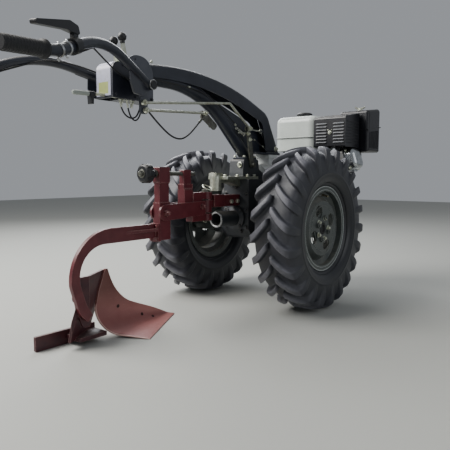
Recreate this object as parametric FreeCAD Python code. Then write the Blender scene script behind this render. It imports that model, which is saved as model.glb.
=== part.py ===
"""Two-wheeled walking tractor with its mounted single-furrow plough.

Millimetres. While it is built, heights count from the engine's shaft, above the wheel axle: +X is
forward, +Y is left and +Z is up. At the end the pieces are moved to stand on the ground.
"""
import FreeCAD, Part
import math
import os

os.makedirs("parts", exist_ok=True)
V = FreeCAD.Vector
ALONG_X, ALONG_Y, ALONG_Z = V(1, 0, 0), V(0, 1, 0), V(0, 0, 1)
SIDES = (("left", 1), ("right", -1))
nodes = {}

# Clearances and plate sizes that many pieces share
seat_gap = 0.3          # between two pieces that are bolted or welded face to face
running_gap = 6.0       # between pieces that turn past each other
bolt_radius = 6.0
bolt_head_radius = 10.5
bolt_head_height = 7.0

# Wheels and tyres
wheel_radius = 310.0    # to the lugs' tips
track_width = 548.0
lug_count = 22          # on each half of the tread
hand_hole_count = 4
hub_bolt_count = 4

# The engine's shaft above the ground, which the clutch and gearbox share
shaft_height = 500.0
ground = -shaft_height
axle_height = ground + wheel_radius


def rounded_path(points, radii, closed=False):
    """Straight runs through the points, joined by tangent arcs of the given radii."""
    count = len(points)
    corners = []
    for i, (point, radius) in enumerate(zip(points, radii)):
        if not radius or (not closed and i in (0, count - 1)):
            corners.append((point, point, None))
            continue
        back = (points[i - 1] - point).normalize()
        ahead = (points[(i + 1) % count] - point).normalize()
        half_angle = back.getAngle(ahead) / 2
        reach = radius / math.tan(half_angle)
        bisector = (back + ahead).normalize()
        middle = point + bisector * (radius / math.sin(half_angle) - radius)
        corners.append((point + back * reach, point + ahead * reach, middle))
    edges = []
    for i, (start, end, middle) in enumerate(corners):
        if middle:
            edges.append(Part.Arc(start, middle, end).toShape())
        if closed or i < count - 1:
            following = corners[(i + 1) % count][0]
            if end.distanceToPoint(following) > 0.001:
                edges.append(Part.LineSegment(end, following).toShape())
    return edges


def slab(plane, outline, radii, start, end):
    """An outline of (first, second) points in a plane, extruded from start to end across it."""
    place, across = {
        "xz": (lambda a, b: V(a, start, b), ALONG_Y),
        "yz": (lambda a, b: V(start, a, b), ALONG_X),
        "xy": (lambda a, b: V(a, b, start), ALONG_Z),
    }[plane]
    if not isinstance(radii, list):
        radii = [radii] * len(outline)
    wire = Part.Wire(rounded_path([place(a, b) for a, b in outline], radii, closed=True))
    return Part.Face(wire).extrude(across * (end - start))


def block(low, high, radius=0, plane="xz"):
    """A bar between two corners, rounded along the edges that cross the plane."""
    first, second, across = {"xz": (0, 2, 1), "yz": (1, 2, 0), "xy": (0, 1, 2)}[plane]
    outline = [(low[first], low[second]), (high[first], low[second]),
               (high[first], high[second]), (low[first], high[second])]
    return slab(plane, outline, radius, low[across], high[across])


def turned(centre, axis, profile, radii=0):
    """A solid of revolution from (distance along the axis, radius) pairs."""
    outward = ALONG_X if abs(axis.z) > 0.5 else ALONG_Z
    if not isinstance(radii, list):
        radii = [radii] * len(profile)
    points = [centre + axis * along + outward * radius for along, radius in profile]
    return Part.Face(Part.Wire(rounded_path(points, radii, closed=True))).revolve(centre, axis, 360)


def rod(start, end, radius):
    """A round bar between two points."""
    return Part.makeCylinder(radius, (end - start).Length, start, end - start)


def bent_rod(points, radii, radius):
    """A round bar bent along a path of straight runs and arcs."""
    path = Part.Wire(rounded_path(points, radii))
    ring = Part.Wire(Part.makeCircle(radius, points[0], points[1] - points[0]))
    return path.makePipeShell([ring], True, True)


def hex_head(centre, axis, radius, height):
    """A bolt head or nut."""
    across = ALONG_X if abs(axis.z) > 0.5 else ALONG_Z
    corners = []
    for i in range(7):
        corners.append(centre + FreeCAD.Rotation(axis, 60 * i).multVec(across) * radius)
    return Part.Face(Part.makePolygon(corners)).extrude(axis * height)


def joined(*shapes):
    """One solid from pieces that are cast or welded together."""
    return shapes[0].multiFuse(list(shapes[1:])).removeSplitter()


# Tyres: a hollow carcass with tall bars in a V on the tread, as on a field tyre
carcass_stations = (
    # across the tread, carcass radius, bar: across, radius, lag behind the middle, half width
    (4, 285, 4, 310, 0, 11),
    (40, 284, 40, 309, 32, 12),
    (73, 275, 76, 300, 66, 14),
    (79, 246, 85, 256, 78, 14),
)
bar_draft = 4.0
sidewall_rings = ((82, 212, 44), (76, 182, 44), (62, 164, 44), (52.9, 162, 44), (52.9, 146, 44),
                  (36, 146, 44), (50, 170, 22), (66, 215, 22), (60, 255, 22), (0, 266, 22))


def tread_point(side, across, radius, angle):
    """A point of the tyre, with the angle measured from the top towards the front."""
    return V(radius * math.sin(angle), side * (track_width / 2) + across,
             axle_height + radius * math.cos(angle))


def triangle(a, b, c):
    return Part.Face(Part.makePolygon([a, b, c, a]))


def quad(a, b, c, d):
    return [triangle(a, b, c), triangle(a, c, d)]


def joined_rings(first, second):
    """Triangles between two closed rings of (angle, point), whatever their counts."""
    turn = 2 * math.pi
    a = sorted(first, key=lambda item: item[0] % turn)
    b = sorted(second, key=lambda item: item[0] % turn)
    faces, i, j = [], 0, 0

    def angle(ring, index):
        return ring[index % len(ring)][0] % turn + turn * (index // len(ring))

    while i < len(a) or j < len(b):
        step_first = j >= len(b) or (i < len(a) and angle(a, i + 1) < angle(b, j + 1))
        here, there = a[i % len(a)][1], b[j % len(b)][1]
        if step_first:
            faces.append(triangle(here, a[(i + 1) % len(a)][1], there))
            i += 1
        else:
            faces.append(triangle(here, b[(j + 1) % len(b)][1], there))
            j += 1
    return faces


def tyre(side):
    pitch = 2 * math.pi / lug_count
    faces, inner_ends = [], []
    for half, stagger in ((1, 0.0), (-1, 0.5)):
        rows = []
        for base_y, base_r, top_y, top_r, lag, half_width in carcass_stations:
            row = []
            for k in range(lug_count):
                middle = (k + stagger) * pitch - lag / wheel_radius
                wide = (half_width + bar_draft) / wheel_radius
                narrow = half_width / wheel_radius
                row.append((
                    (middle - wide, tread_point(side, half * base_y, base_r, middle - wide)),
                    (middle + wide, tread_point(side, half * base_y, base_r, middle + wide)),
                    tread_point(side, half * top_y, top_r, middle - narrow),
                    tread_point(side, half * top_y, top_r, middle + narrow),
                ))
            rows.append(row)
        for inner, outer in zip(rows, rows[1:]):
            for k in range(lug_count):
                (_, rear_base), (_, front_base), rear_top, front_top = inner[k]
                (_, rear_base2), (_, front_base2), rear_top2, front_top2 = outer[k]
                (_, next_base) = inner[(k + 1) % lug_count][0]
                (_, next_base2) = outer[(k + 1) % lug_count][0]
                faces += quad(rear_top, front_top, front_top2, rear_top2)
                faces += quad(rear_base, rear_top, rear_top2, rear_base2)
                faces += quad(front_base, front_top, front_top2, front_base2)
                faces += quad(front_base, next_base, next_base2, front_base2)
        for row in (rows[0], rows[-1]):
            for (_, rear_base), (_, front_base), rear_top, front_top in row:
                faces += quad(rear_base, front_base, front_top, rear_top)
        inner_ends.append([edge for bar in rows[0] for edge in bar[:2]])
        last = [edge for bar in rows[-1] for edge in bar[:2]]
        for y, radius, count in sidewall_rings:
            ring = []
            for i in range(count):
                angle = 2 * math.pi * i / count
                ring.append((angle, tread_point(side, half * y, radius, angle)))
            faces += joined_rings(last, ring)
            last = ring
    faces += joined_rings(*inner_ends)
    solid = Part.Solid(Part.makeShell(faces))
    if solid.Volume < 0:
        solid.reverse()
    return solid


# Wheel rims: rolled rim with a raised disc, four hand holes and four bolt holes round the hub
rim_flange_radius = 160.0
rim_half_width = 58.0
rim_wall = 4.0
bead_seat_radius = 145.0
rim_well_radius = 128.0
disc_face = 50.0          # from the wheel's middle plane outwards
disc_face_radius = 103.0
hub_hole_radius = 24.0
hand_hole_radius = 25.0
hand_hole_circle = 70.0
hub_bolt_circle = 42.0


def around(centre, axis, radius, count, start):
    """Points on a circle round an axis."""
    spoke = FreeCAD.Rotation(axis, start).multVec(ALONG_Z) * radius
    return [centre + FreeCAD.Rotation(axis, 360.0 * i / count).multVec(spoke) for i in range(count)]


def rim(side):
    centre, out = V(0, side * track_width / 2, axle_height), V(0, side, 0)
    lip = rim_half_width
    inner = bead_seat_radius - rim_wall
    well = rim_well_radius - rim_wall
    band = turned(centre, out, [
        (-lip, rim_flange_radius), (-53.2, rim_flange_radius), (-53.2, bead_seat_radius),
        (-34, bead_seat_radius), (-22, rim_well_radius), (22, rim_well_radius),
        (34, bead_seat_radius), (53.2, bead_seat_radius), (53.2, rim_flange_radius),
        (lip, rim_flange_radius), (lip, inner), (36, inner), (25, well), (-25, well),
        (-36, inner), (-lip, inner)])
    back = disc_face - rim_wall
    disc = turned(centre, out, [
        (disc_face, hub_hole_radius), (disc_face, disc_face_radius), (24, well + 1),
        (18, well + 1), (back, disc_face_radius - 5), (back, hub_hole_radius)])
    wheel = joined(band, disc)
    for count, circle, radius, start in ((hand_hole_count, hand_hole_circle, hand_hole_radius, 25),
                                         (hub_bolt_count, hub_bolt_circle, bolt_radius + seat_gap, 70)):
        for point in around(centre, out, circle, count, start):
            wheel = wheel.cut(rod(point, point + out * lip, radius))
    return wheel


# Final drives: a drop case on each side of the gearbox, with the axle's bearing housing
gearbox_half_width = 62.0
case_thickness = 56.0
bearing_face = 180.0      # from the middle of the machine
axle_radius = 20.0


def hub(side):
    centre, out = V(0, 0, axle_height), V(0, side, 0)
    disc_back = track_width / 2 + disc_face - rim_wall
    inner_face = bearing_face + running_gap
    body = turned(centre, out, [
        (bearing_face - 28, 0), (bearing_face - 28, axle_radius), (inner_face, axle_radius),
        (inner_face, 48), (inner_face + 9, 48), (inner_face + 9, 38), (disc_back - 10, 38),
        (disc_back - 10, 57), (disc_back - seat_gap, 57), (disc_back - seat_gap, 0)])
    bolts = []
    wheel_face = V(0, side * (track_width / 2 + disc_face + seat_gap), axle_height)
    for point in around(wheel_face, out, hub_bolt_circle, hub_bolt_count, 70):
        bolts.append(rod(point - out * 12, point + out * 12, bolt_radius))
        bolts.append(hex_head(point, out, bolt_head_radius, bolt_head_height))
    return joined(body, *bolts)


def axle_housing(side):
    lower, upper = V(0, side * gearbox_half_width, axle_height), V(-8, side * gearbox_half_width, -75)
    out = V(0, side, 0)
    foot, sump = axle_height - 30, axle_height - 60
    case = slab("xz", [(-62, foot), (-30, sump), (30, sump), (62, foot), (48, -60), (20, -22), (-36, -22),
                       (-64, -60)], [24] * 8, side * gearbox_half_width,
                side * (gearbox_half_width + case_thickness))
    neck_length = bearing_face - gearbox_half_width
    neck = turned(lower, out, [(0, 0), (0, 42), (case_thickness + 4, 42), (95, 36), (100, 46),
                               (neck_length, 46), (neck_length, 0)])
    upper_boss = rod(upper, upper + out * (case_thickness + 8), 34)
    bore = rod(lower + out * (neck_length - 30), lower + out * (neck_length + 1), axle_radius + seat_gap)
    return joined(case, neck, upper_boss).cut(bore)


for name, side in SIDES:
    nodes[f"tyre_{name}"] = tyre(side)
    nodes[f"rim_{name}"] = rim(side)
    nodes[f"hub_{name}"] = hub(side)
    nodes[f"axle_housing_{name}"] = axle_housing(side)

# Gearbox, with the riser that takes the foot of the column's pipe
clutch_rear, gearbox_rear = 20.0, -118.0
shoulder, riser_top = -5.0, 74.0
riser_half_width = 34.0
gearbox_outline = [(gearbox_rear, -200), (-92, -238), (50, -238), (clutch_rear, -200), (clutch_rear, 20),
                   (-10, 35), (-14, riser_top), (-112, riser_top), (gearbox_rear, 20)]
gearbox = slab("xz", gearbox_outline, [14, 18, 10, 6, 14, 8, 10, 10, 20],
               -gearbox_half_width + seat_gap, gearbox_half_width - seat_gap)
for side in (1, -1):
    gearbox = gearbox.cut(block((-200, side * riser_half_width, shoulder), (100, side * 100, riser_top + 30)))
stub_rear, stub_half_width, stub_low, stub_high = -205.0, 13.0, -103.0, -69.0
drawbar_stub = block((stub_rear, -stub_half_width, stub_low), (-110, stub_half_width, stub_high), 4, "xz")
nodes["gearbox"] = joined(gearbox, drawbar_stub)

# Clutch housing: a bell on the engine's flange, with the neck that carries the column's foot
engine_rear = 235.0
neck_rear, neck_front, neck_top, neck_half_width = 66.0, 150.0, 96.0, 35.0
shaft = V(0, 0, 0)
bell = turned(shaft, ALONG_X, [
    (clutch_rear + seat_gap, 0), (clutch_rear + seat_gap, 56), (90, 62), (140, 92), (engine_rear - 14, 96),
    (engine_rear - 14, 106), (engine_rear - seat_gap, 106), (engine_rear - seat_gap, 0)])
neck = block((neck_rear, -neck_half_width, 0), (neck_front, neck_half_width, neck_top), 6, "xy")
lid = block((neck_rear - 4, -neck_half_width - 4, neck_top - 14),
            (neck_front + 4, neck_half_width + 4, neck_top), 8, "xy")
nodes["clutch_housing"] = joined(bell, neck, lid)

# Power take-off: the ribbed cover on the gearbox's rear and the tube that rings its shaft
pto_length, pto_tube_radius, pto_bore_radius = 126.0, 30.0, 24.0
nodes["pto_tube"] = turned(V(gearbox_rear, 0, -158), -ALONG_X, [
    (seat_gap, pto_bore_radius), (seat_gap, 46), (12, 46), (18, pto_tube_radius),
    (pto_length, pto_tube_radius), (pto_length, pto_bore_radius)])

# Column: a pressed channel over a bent pipe, with a web plate between them. Its heights count from the
# neck that it stands on.
foot_thickness = 7.4
foot_top = neck_top + seat_gap + foot_thickness
column_rear = -612.0
cap_half_width, cap_wall, cap_fillet = 31.0, 3.0, 12.0
cap_radii = [0, 1184, 80, 0, 0, 40, 1265, 0]


def over_neck(outline):
    return [(x, neck_top + height) for x, height in outline]


cap_outline = over_neck([(column_rear, 263.6), (-282, 293), (58, 167), (150, 8), (45, 8), (23, 125.6),
                         (-316, 237.5), (column_rear, 223)])
cap_outer = slab("xz", cap_outline, cap_radii, -cap_half_width, cap_half_width)
back_edges = [edge for edge in cap_outer.Edges
              if edge.BoundBox.YLength < 0.01 and edge.Length > 30
              and (edge.BoundBox.ZMax > neck_top + 246 or edge.BoundBox.XMax > 60)
              and edge.BoundBox.ZMin > neck_top + 4]
cap_outer = cap_outer.makeFillet(cap_fillet, back_edges)
pocket_outline = over_neck([(column_rear - 8, 260), (-282, 289.9), (55.6, 164.6), (147, 4), (40, 4), (19, 120),
                            (-316, 232), (column_rear - 8, 216)])
pocket = slab("xz", pocket_outline, [0, 1181, 77, 0, 0, 40, 1265, 0],
              -cap_half_width + cap_wall, cap_half_width - cap_wall)
nodes["column_cap"] = cap_outer.cut(pocket)

pipe_radius = 24.0
pipe_height = neck_top + 227
pipe_route = [V(column_rear, 0, pipe_height), V(-327, 0, pipe_height), V(-34, 0, riser_top - 10)]
pipe_radii = [0, 450, 0]
pipe_foot = block((-104, -30, riser_top + seat_gap), (-16, 30, riser_top + 8), 8, "xy")
below_foot = block((-200, -60, 0), (100, 60, riser_top + seat_gap))
nodes["column_pipe"] = joined(bent_rod(pipe_route, pipe_radii, pipe_radius), pipe_foot).cut(below_foot)

# Column web: a plate between the pipe and the channel, welded on the foot plate over the housing's neck
web_half_thickness = 4.0
web = slab("xz", over_neck([(-470, 230), (-316, 209), (-110, 144), (10, 94), (33, 44), (39, 6), (-40, 6),
                            (-68, 19), (-200, 126), (-300, 184), (-400, 216)]), 0,
           -web_half_thickness, web_half_thickness)
link_height, link_side = neck_top + 92, -34.0
web_pin_radius = 5.0
web_pin = rod(V(0, 0, link_height), V(0, link_side - 8, link_height), web_pin_radius)
pipe_room = bent_rod(pipe_route, pipe_radii, pipe_radius + seat_gap)
foot = block((-44, -36, neck_top + seat_gap), (156, 36, foot_top), 10, "xy")
nodes["column_web"] = joined(web, foot, web_pin).cut(pipe_room)

# Hitch bracket: a forked plate on the gearbox's shoulder, with the drawbar pin's boss behind
hitch_pin_x, hitch_pin_radius = -245.0, 10.0
hitch_boss_radius, hitch_boss_bottom = 22.0, -48.0
hitch_plate_low, hitch_plate_high = shoulder + seat_gap, 6.0
hitch_plate = block((-240, -48, hitch_plate_low), (-24, 48, hitch_plate_high), 14, "xy")
riser_room = block((gearbox_rear - seat_gap, -riser_half_width - seat_gap, -60),
                   (0, riser_half_width + seat_gap, riser_top))
hitch_arm = slab("xz", [(gearbox_rear - seat_gap, -34), (gearbox_rear - seat_gap, hitch_plate_high),
                        (hitch_pin_x, hitch_plate_high), (hitch_pin_x, -18), (-190, -16)],
                 [0, 2, 0, 0, 20], -20, 20)
hitch_boss = rod(V(hitch_pin_x, 0, hitch_boss_bottom), V(hitch_pin_x, 0, hitch_plate_high + 4),
                 hitch_boss_radius)
hitch_collar = block((hitch_pin_x - 21, -19, hitch_plate_high), (hitch_pin_x + 21, 19, 19), 5, "xy")
collar_room = block((hitch_pin_x - 13, -12, 12), (hitch_pin_x + 13, 12, 30), 3, "xy")
hitch_bore = rod(V(hitch_pin_x, 0, hitch_boss_bottom - 1), V(hitch_pin_x, 0, 30), hitch_pin_radius)
bracket = joined(hitch_plate.cut(riser_room), hitch_arm, hitch_boss, hitch_collar)
nodes["hitch_bracket"] = bracket.cut(collar_room).cut(hitch_bore)

# Control head: a box of two round-topped cheeks on the end of the column
head_rear, head_front = -712.0, -596.0
head_bottom, head_top = neck_top + 142, neck_top + 279
cheek_inner, cheek_thickness = cap_half_width + seat_gap, 4.0
cheek_outer = cheek_inner + cheek_thickness
pivot_x, pivot_z, pivot_radius = -634.0, neck_top + 190, 8.0
pivot = V(pivot_x, 0, pivot_z)
cheek_outline = [(head_rear, head_bottom), (head_front, head_bottom), (head_front, head_top),
                 (head_rear, head_top)]
cheeks = [slab("xz", cheek_outline, [5, 5, 54, 54], side * cheek_inner, side * cheek_outer)
          for side in (1, -1)]
head_floor = block((head_rear, -cheek_outer, head_bottom), (head_front, cheek_outer, head_bottom + 4))
rod_side, rod_radius, eye_radius, pin_radius = -50.0, 4.5, 9.0, 4.0
ear_rear, ear_front = -656.0, -624.0
ear = block((ear_rear, -cheek_outer - 4, head_bottom - 38), (ear_front, -cheek_outer + 1, head_bottom + 12), 10)
shaft_room = rod(pivot - ALONG_Y * 60, pivot + ALONG_Y * 60, pivot_radius + seat_gap)
head = joined(*cheeks, head_floor, ear).cut(shaft_room)

# Head cover: a folded sheet box round the levers' feet, behind the cheeks
cover_rear, cover_front, cover_open = -760.0, ear_rear - 4, head_rear - 1
cover_top, cover_wall = head_bottom + 106, 3.0
cover_inner = cheek_outer + seat_gap
cover_outer = cover_inner + cover_wall
cover = slab("xz", [(cover_rear, head_bottom), (cover_front, head_bottom), (cover_front, head_bottom + 50),
                    (cover_open + 14, cover_top), (cover_rear, cover_top)], [3, 3, 14, 14, 24],
             -cover_outer, cover_outer)
cover = cover.cut(slab("xz", [(cover_rear + cover_wall, head_bottom - 9), (0, head_bottom - 9),
                              (0, cover_top - cover_wall), (cover_rear + cover_wall, cover_top - cover_wall)],
                       [0, 0, 0, 21], -cover_inner, cover_inner))
nodes["head_cover"] = cover.cut(block((cover_open, -cover_inner, head_bottom), (0, cover_inner, head_top)))

# Shift levers: zinc-plated straps with ball knobs, standing in the head
lever_table = (
    # across, foot x, top x, top height over the neck
    (12.0, -678.0, -712.0, 309.0),
    (-12.0, -666.0, -699.0, 320.0),
)
strap_foot_half, strap_top_half, strap_half_thickness = 12.0, 6.0, 3.0
knob_radius, knob_seat = 13.5, 4.0
lever_foot = head_bottom + 4 + seat_gap
straps, knobs = [], []
for y, foot_x, top_x, over in lever_table:
    top_z = neck_top + over
    strap = slab("xz", [(foot_x - strap_foot_half, lever_foot), (foot_x + strap_foot_half, lever_foot),
                        (top_x + strap_top_half, top_z), (top_x - strap_top_half, top_z)], 0,
                 y - strap_half_thickness, y + strap_half_thickness)
    straps.append(strap)
    knobs.append(Part.makeSphere(knob_radius, V(top_x, y, top_z + knob_radius - knob_seat)).cut(strap))
nodes["shift_levers"] = Part.makeCompound(straps)
nodes["shift_knobs"] = Part.makeCompound(knobs)

# Lock lever behind the head, pointing back to the driver
lock_height = neck_top + 152
lock_end = V(-872, 0, lock_height - 5)
nodes["lock_lever"] = joined(
    slab("xz", [(cover_rear - seat_gap, lock_height - 5), (cover_rear - seat_gap, lock_height + 5),
                (-810, lock_height + 2), (-810, lock_height - 6)], 0, -4, 4),
    rod(V(-800, 0, lock_height - 2), V(-818, 0, lock_height - 3), 7),
    rod(V(-816, 0, lock_height - 3), lock_end, 9))

# Shift rods along the column, with an eye at each end
upper_head, lower_head = (-648.0, head_bottom - 5), (-640.0, head_bottom - 27)
rod_bend = (-222.0, neck_top + 179)
selector_eye = (-96.0, neck_top + 96)
crank_eye = (-362.0, neck_top + 131)


def eye_end(x, z):
    return rod(V(x, rod_side - 5, z), V(x, rod_side + 5, z), eye_radius)


def eye_bore(x, z):
    return rod(V(x, rod_side - 6, z), V(x, rod_side + 6, z), pin_radius + seat_gap)


upper_rod = joined(bent_rod([V(x, rod_side, z) for x, z in (upper_head, rod_bend, selector_eye)], [0, 14, 0],
                            rod_radius), eye_end(*upper_head), eye_end(*selector_eye))
lower_rod = joined(rod(V(lower_head[0], rod_side, lower_head[1]), V(crank_eye[0], rod_side, crank_eye[1]),
                       rod_radius), eye_end(*lower_head), eye_end(*crank_eye))
for end in (upper_head, selector_eye):
    upper_rod = upper_rod.cut(eye_bore(*end))
for end in (lower_head, crank_eye):
    lower_rod = lower_rod.cut(eye_bore(*end))
head_pins = [rod(V(x, -cheek_outer, z), V(x, rod_side - 8, z), pin_radius) for x, z in (upper_head, lower_head)]

# Selector lever down the column's foot, and the short link in front of it
selector_side, selector_half = -40.2, 3.0
selector_lever = slab("xz", [(-108, neck_top + 104), (-84, neck_top + 104), (-52, riser_top - 26),
                             (-76, riser_top - 34)], 8,
                      selector_side - selector_half, selector_side + selector_half)
selector_foot = V(-64, 0, riser_top - 22)
selector_pins = [rod(V(selector_eye[0], link_side + 4, selector_eye[1]),
                     V(selector_eye[0], rod_side - 8, selector_eye[1]), pin_radius),
                 rod(selector_foot - ALONG_Y * (riser_half_width + seat_gap),
                     selector_foot + ALONG_Y * (selector_side - 12), 10)]
nodes["selector_lever"] = joined(selector_lever, *selector_pins)
link_ends = [V(selector_eye[0], link_side, selector_eye[1]), V(0, link_side, link_height)]
shift_link = joined(rod(link_ends[0], link_ends[1], 2.2),
                    *[rod(end - ALONG_Y * 2.5, end + ALONG_Y * 2.5, eye_radius) for end in link_ends])
for end, radius in zip(link_ends, (pin_radius, web_pin_radius)):
    shift_link = shift_link.cut(rod(end - ALONG_Y * 9, end + ALONG_Y * 9, radius + seat_gap))
nodes["shift_rods"] = Part.makeCompound([upper_rod, lower_rod, shift_link])

# Cable crank on the pipe: a small three-cornered plate that the lower rod and a cable pull
crank_side, crank_half = -38.0, 3.0
crank = slab("xz", over_neck([(-372, 140), (-350, 140), (-282, 94), (-300, 76), (-372, 116)]), [6, 6, 8, 8, 6],
             crank_side - crank_half, crank_side + crank_half)
crank_boss = rod(V(-300, -pipe_radius + 6, neck_top + 96), V(-300, crank_side, neck_top + 96), 9)
crank_pin = rod(V(crank_eye[0], crank_side, crank_eye[1]), V(crank_eye[0], rod_side - 8, crank_eye[1]), pin_radius)

# Shift cable: hangs from its gland under the head to the ferrule on the crank
cable_radius = 3.0
cable_points = ((-616, -17, 130), (-592, -19, 108), (-562, -21.5, 82), (-527, -25, 55), (-497, -28.5, 39),
                (-463, -32, 36), (-432, -35, 52), (-405, -37, 75), (-380, -38.2, 99))
cable_route = [V(x, y, neck_top + over) for x, y, over in cable_points]


def hanging_arcs(route):
    """The largest arc that the two runs at each point of a hanging cable allow."""
    radii = [0]
    for before, point, after in zip(route, route[1:], route[2:]):
        arriving, leaving = point - before, after - point
        turn_angle = arriving.getAngle(leaving)
        radii.append(0.45 * min(arriving.Length, leaving.Length) / math.tan(turn_angle / 2))
    return radii + [0]


nodes["shift_cable"] = bent_rod(cable_route, hanging_arcs(cable_route), cable_radius)
start_way = (cable_route[0] - cable_route[1]).normalize()
gland = rod(cable_route[0] + start_way * seat_gap, cable_route[0] + start_way * 22, 6)
gland = gland.common(block((head_rear, -60, 0), (0, 60, head_bottom + 1)))
nodes["control_head"] = joined(head, *head_pins, gland)
end_way = (cable_route[-1] - cable_route[-2]).normalize()
ferrule = rod(cable_route[-1] + end_way * seat_gap, cable_route[-1] + end_way * 26, 4.5)
nodes["cable_crank"] = joined(crank, crank_boss, crank_pin, ferrule).cut(pipe_room)

# Handlebars: bent tubes with a welded gusset each, on one cross shaft through the head
tube_radius, eye_tube_radius = 13.5, 15.0
bar_table = (
    # along, across, height over the neck, bend radius
    (-634, 57, 190, 0),
    (-879, 151, 268, 300),
    (-1072, 227, 189, 250),
    (-1225, 268, 174, 0),
)
bar_radii = [row[3] for row in bar_table]
gusset_outline = [(8, 6), (-118, 34), (-120, -10), (-100, -38), (-44, -38), (14, -8)]
gusset_half_thickness = 2.5
cross_inner, cross_outer = cover_outer + running_gap, 77.0
grip_length, grip_radius = 125.0, 17.0
bar_routes = {}
for name, side in SIDES:
    route = [V(x, side * y, neck_top + over) for x, y, over, _ in bar_table]
    bar_routes[name] = route
    tube = bent_rod(route, bar_radii, tube_radius)
    gusset = slab("xz", gusset_outline, [0, 0, 14, 14, 16, 6], -gusset_half_thickness, gusset_half_thickness)
    splay = math.degrees(math.atan2(route[1].y - route[0].y, route[0].x - route[1].x))
    gusset.rotate(V(0, 0, 0), ALONG_Z, -splay)
    gusset.translate(route[0])
    cross_tube = rod(V(pivot_x, side * cross_inner, pivot_z), V(pivot_x, side * cross_outer, pivot_z),
                     eye_tube_radius)
    direction = (route[-1] - route[-2]).normalize()
    grip_start, grip_end = route[-1] - direction * grip_length, route[-1] + direction * 4
    nodes[f"handlebar_{name}"] = joined(tube, gusset, cross_tube).cut(
        rod(pivot - ALONG_Y * 80, pivot + ALONG_Y * 80, pivot_radius + seat_gap))
    nodes[f"grip_{name}"] = rod(grip_start, grip_end, grip_radius).cut(
        rod(grip_start, route[-1] + direction * seat_gap, tube_radius + seat_gap))
shaft_end = cross_outer + seat_gap
nodes["handlebar_shaft"] = joined(
    rod(pivot - ALONG_Y * shaft_end, pivot + ALONG_Y * shaft_end, pivot_radius),
    *[rod(pivot + ALONG_Y * side * shaft_end, pivot + ALONG_Y * side * (shaft_end + 3), 11)
      for side in (1, -1)])

# Hand levers: a clamp round each tube and a short blade above it
for name, side in SIDES:
    route = bar_routes[name]
    direction = (route[2] - route[1]).normalize()
    middle = route[1] + direction * 146
    clamp = rod(middle - direction * 13, middle + direction * 13, tube_radius + 6)
    lug = block((-8, -6, tube_radius + 2), (10, 6, 40), 4)
    blade = slab("xz", [(16, 28), (8, 48), (-26, 52), (-150, 22), (-150, 12), (-40, 28)],
                 [5, 6, 14, 4, 4, 30], -8, 8)
    lever = joined(lug, blade)
    lever.rotate(V(0, 0, 0), ALONG_Z, math.degrees(math.atan2(-direction.y, -direction.x)))
    lever.translate(middle)
    tube_room = rod(middle - direction * 20, middle + direction * 20, tube_radius + seat_gap)
    nodes[f"hand_lever_{name}"] = joined(clamp, lever).cut(tube_room)

# Tongue: a box welded to the eye of the king pin, bolted over the drawbar stub
king_pin_x, king_pin_radius = -302.0, 9.0
tongue_low, tongue_high = stub_low - 5, stub_high + 5
eye_low, eye_high, eye_outer = -125.5, -80.5, 22.0
tongue = joined(
    block((-276, -20, tongue_low), (-218, 20, tongue_high + 2), 4, "yz"),
    block((-219, -18, tongue_low), (gearbox_rear - 0.7, 18, tongue_high), 4, "yz"),
    block((king_pin_x, -14, tongue_low), (-270, 14, eye_high)),
    rod(V(king_pin_x, 0, eye_low), V(king_pin_x, 0, eye_high), eye_outer))
king_axis_low, king_axis_high = V(king_pin_x, 0, -200), V(king_pin_x, 0, 0)
tongue = tongue.cut(rod(king_axis_low, king_axis_high, king_pin_radius + 0.2))
tongue = tongue.cut(block((stub_rear - seat_gap, -stub_half_width - seat_gap, stub_low - seat_gap),
                          (-100, stub_half_width + seat_gap, stub_high + seat_gap)))
tongue_bolts = [hex_head(V(x, -18, -90), -ALONG_Y, 8, 6) for x in (-174, -136)]
nodes["hitch_tongue"] = joined(tongue, *tongue_bolts)

# Coupling: fork on the king pin, front post, and two side plates that carry the plough's post
post_half_width, plate_inner, plate_thickness = 13.0, 17.0, 8.0
tilt_x, tilt_z, tilt_pin_radius = -534.0, -115.0, 9.0
screw_z, screw_radius = 16.0, 7.0
fork_half_width = plate_inner - seat_gap
front_post_rear, front_post_front, front_post_top = -434.0, -392.0, 30.0
fork_low, fork_high, cheek_depth = -155.0, -51.0, 25.0
boss_low, boss_high = fork_low + cheek_depth, fork_high - cheek_depth
fork = joined(
    block((front_post_front, -fork_half_width, fork_low), (-345, fork_half_width, fork_high)),
    block((front_post_front, -fork_half_width, boss_high), (king_pin_x, fork_half_width, fork_high)),
    block((front_post_front, -fork_half_width, fork_low), (king_pin_x, fork_half_width, boss_low)),
    rod(V(king_pin_x, 0, boss_high), V(king_pin_x, 0, fork_high), 23),
    rod(V(king_pin_x, 0, fork_low), V(king_pin_x, 0, boss_low), 23),
    block((front_post_rear, -fork_half_width, -134), (front_post_front, fork_half_width, -40)),
    block((front_post_rear, -post_half_width, -100), (front_post_front, post_half_width, -20)),
    block((front_post_rear + 3, -post_half_width + 2, -30), (front_post_front - 3, post_half_width - 2,
                                                            front_post_top), 4, "xz"))
screw_line = (V(-700, 0, screw_z), V(-300, 0, screw_z))
fork = fork.cut(rod(king_axis_low, king_axis_high, king_pin_radius + seat_gap))
nodes["coupling_fork"] = fork.cut(rod(*screw_line, screw_radius + seat_gap))
king_head = fork_high + seat_gap
nodes["king_pin"] = joined(
    rod(V(king_pin_x, 0, fork_low - 7), V(king_pin_x, 0, king_head), king_pin_radius),
    rod(V(king_pin_x, 0, king_head), V(king_pin_x, 0, king_head + 9), 15))
plates = []
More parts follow.
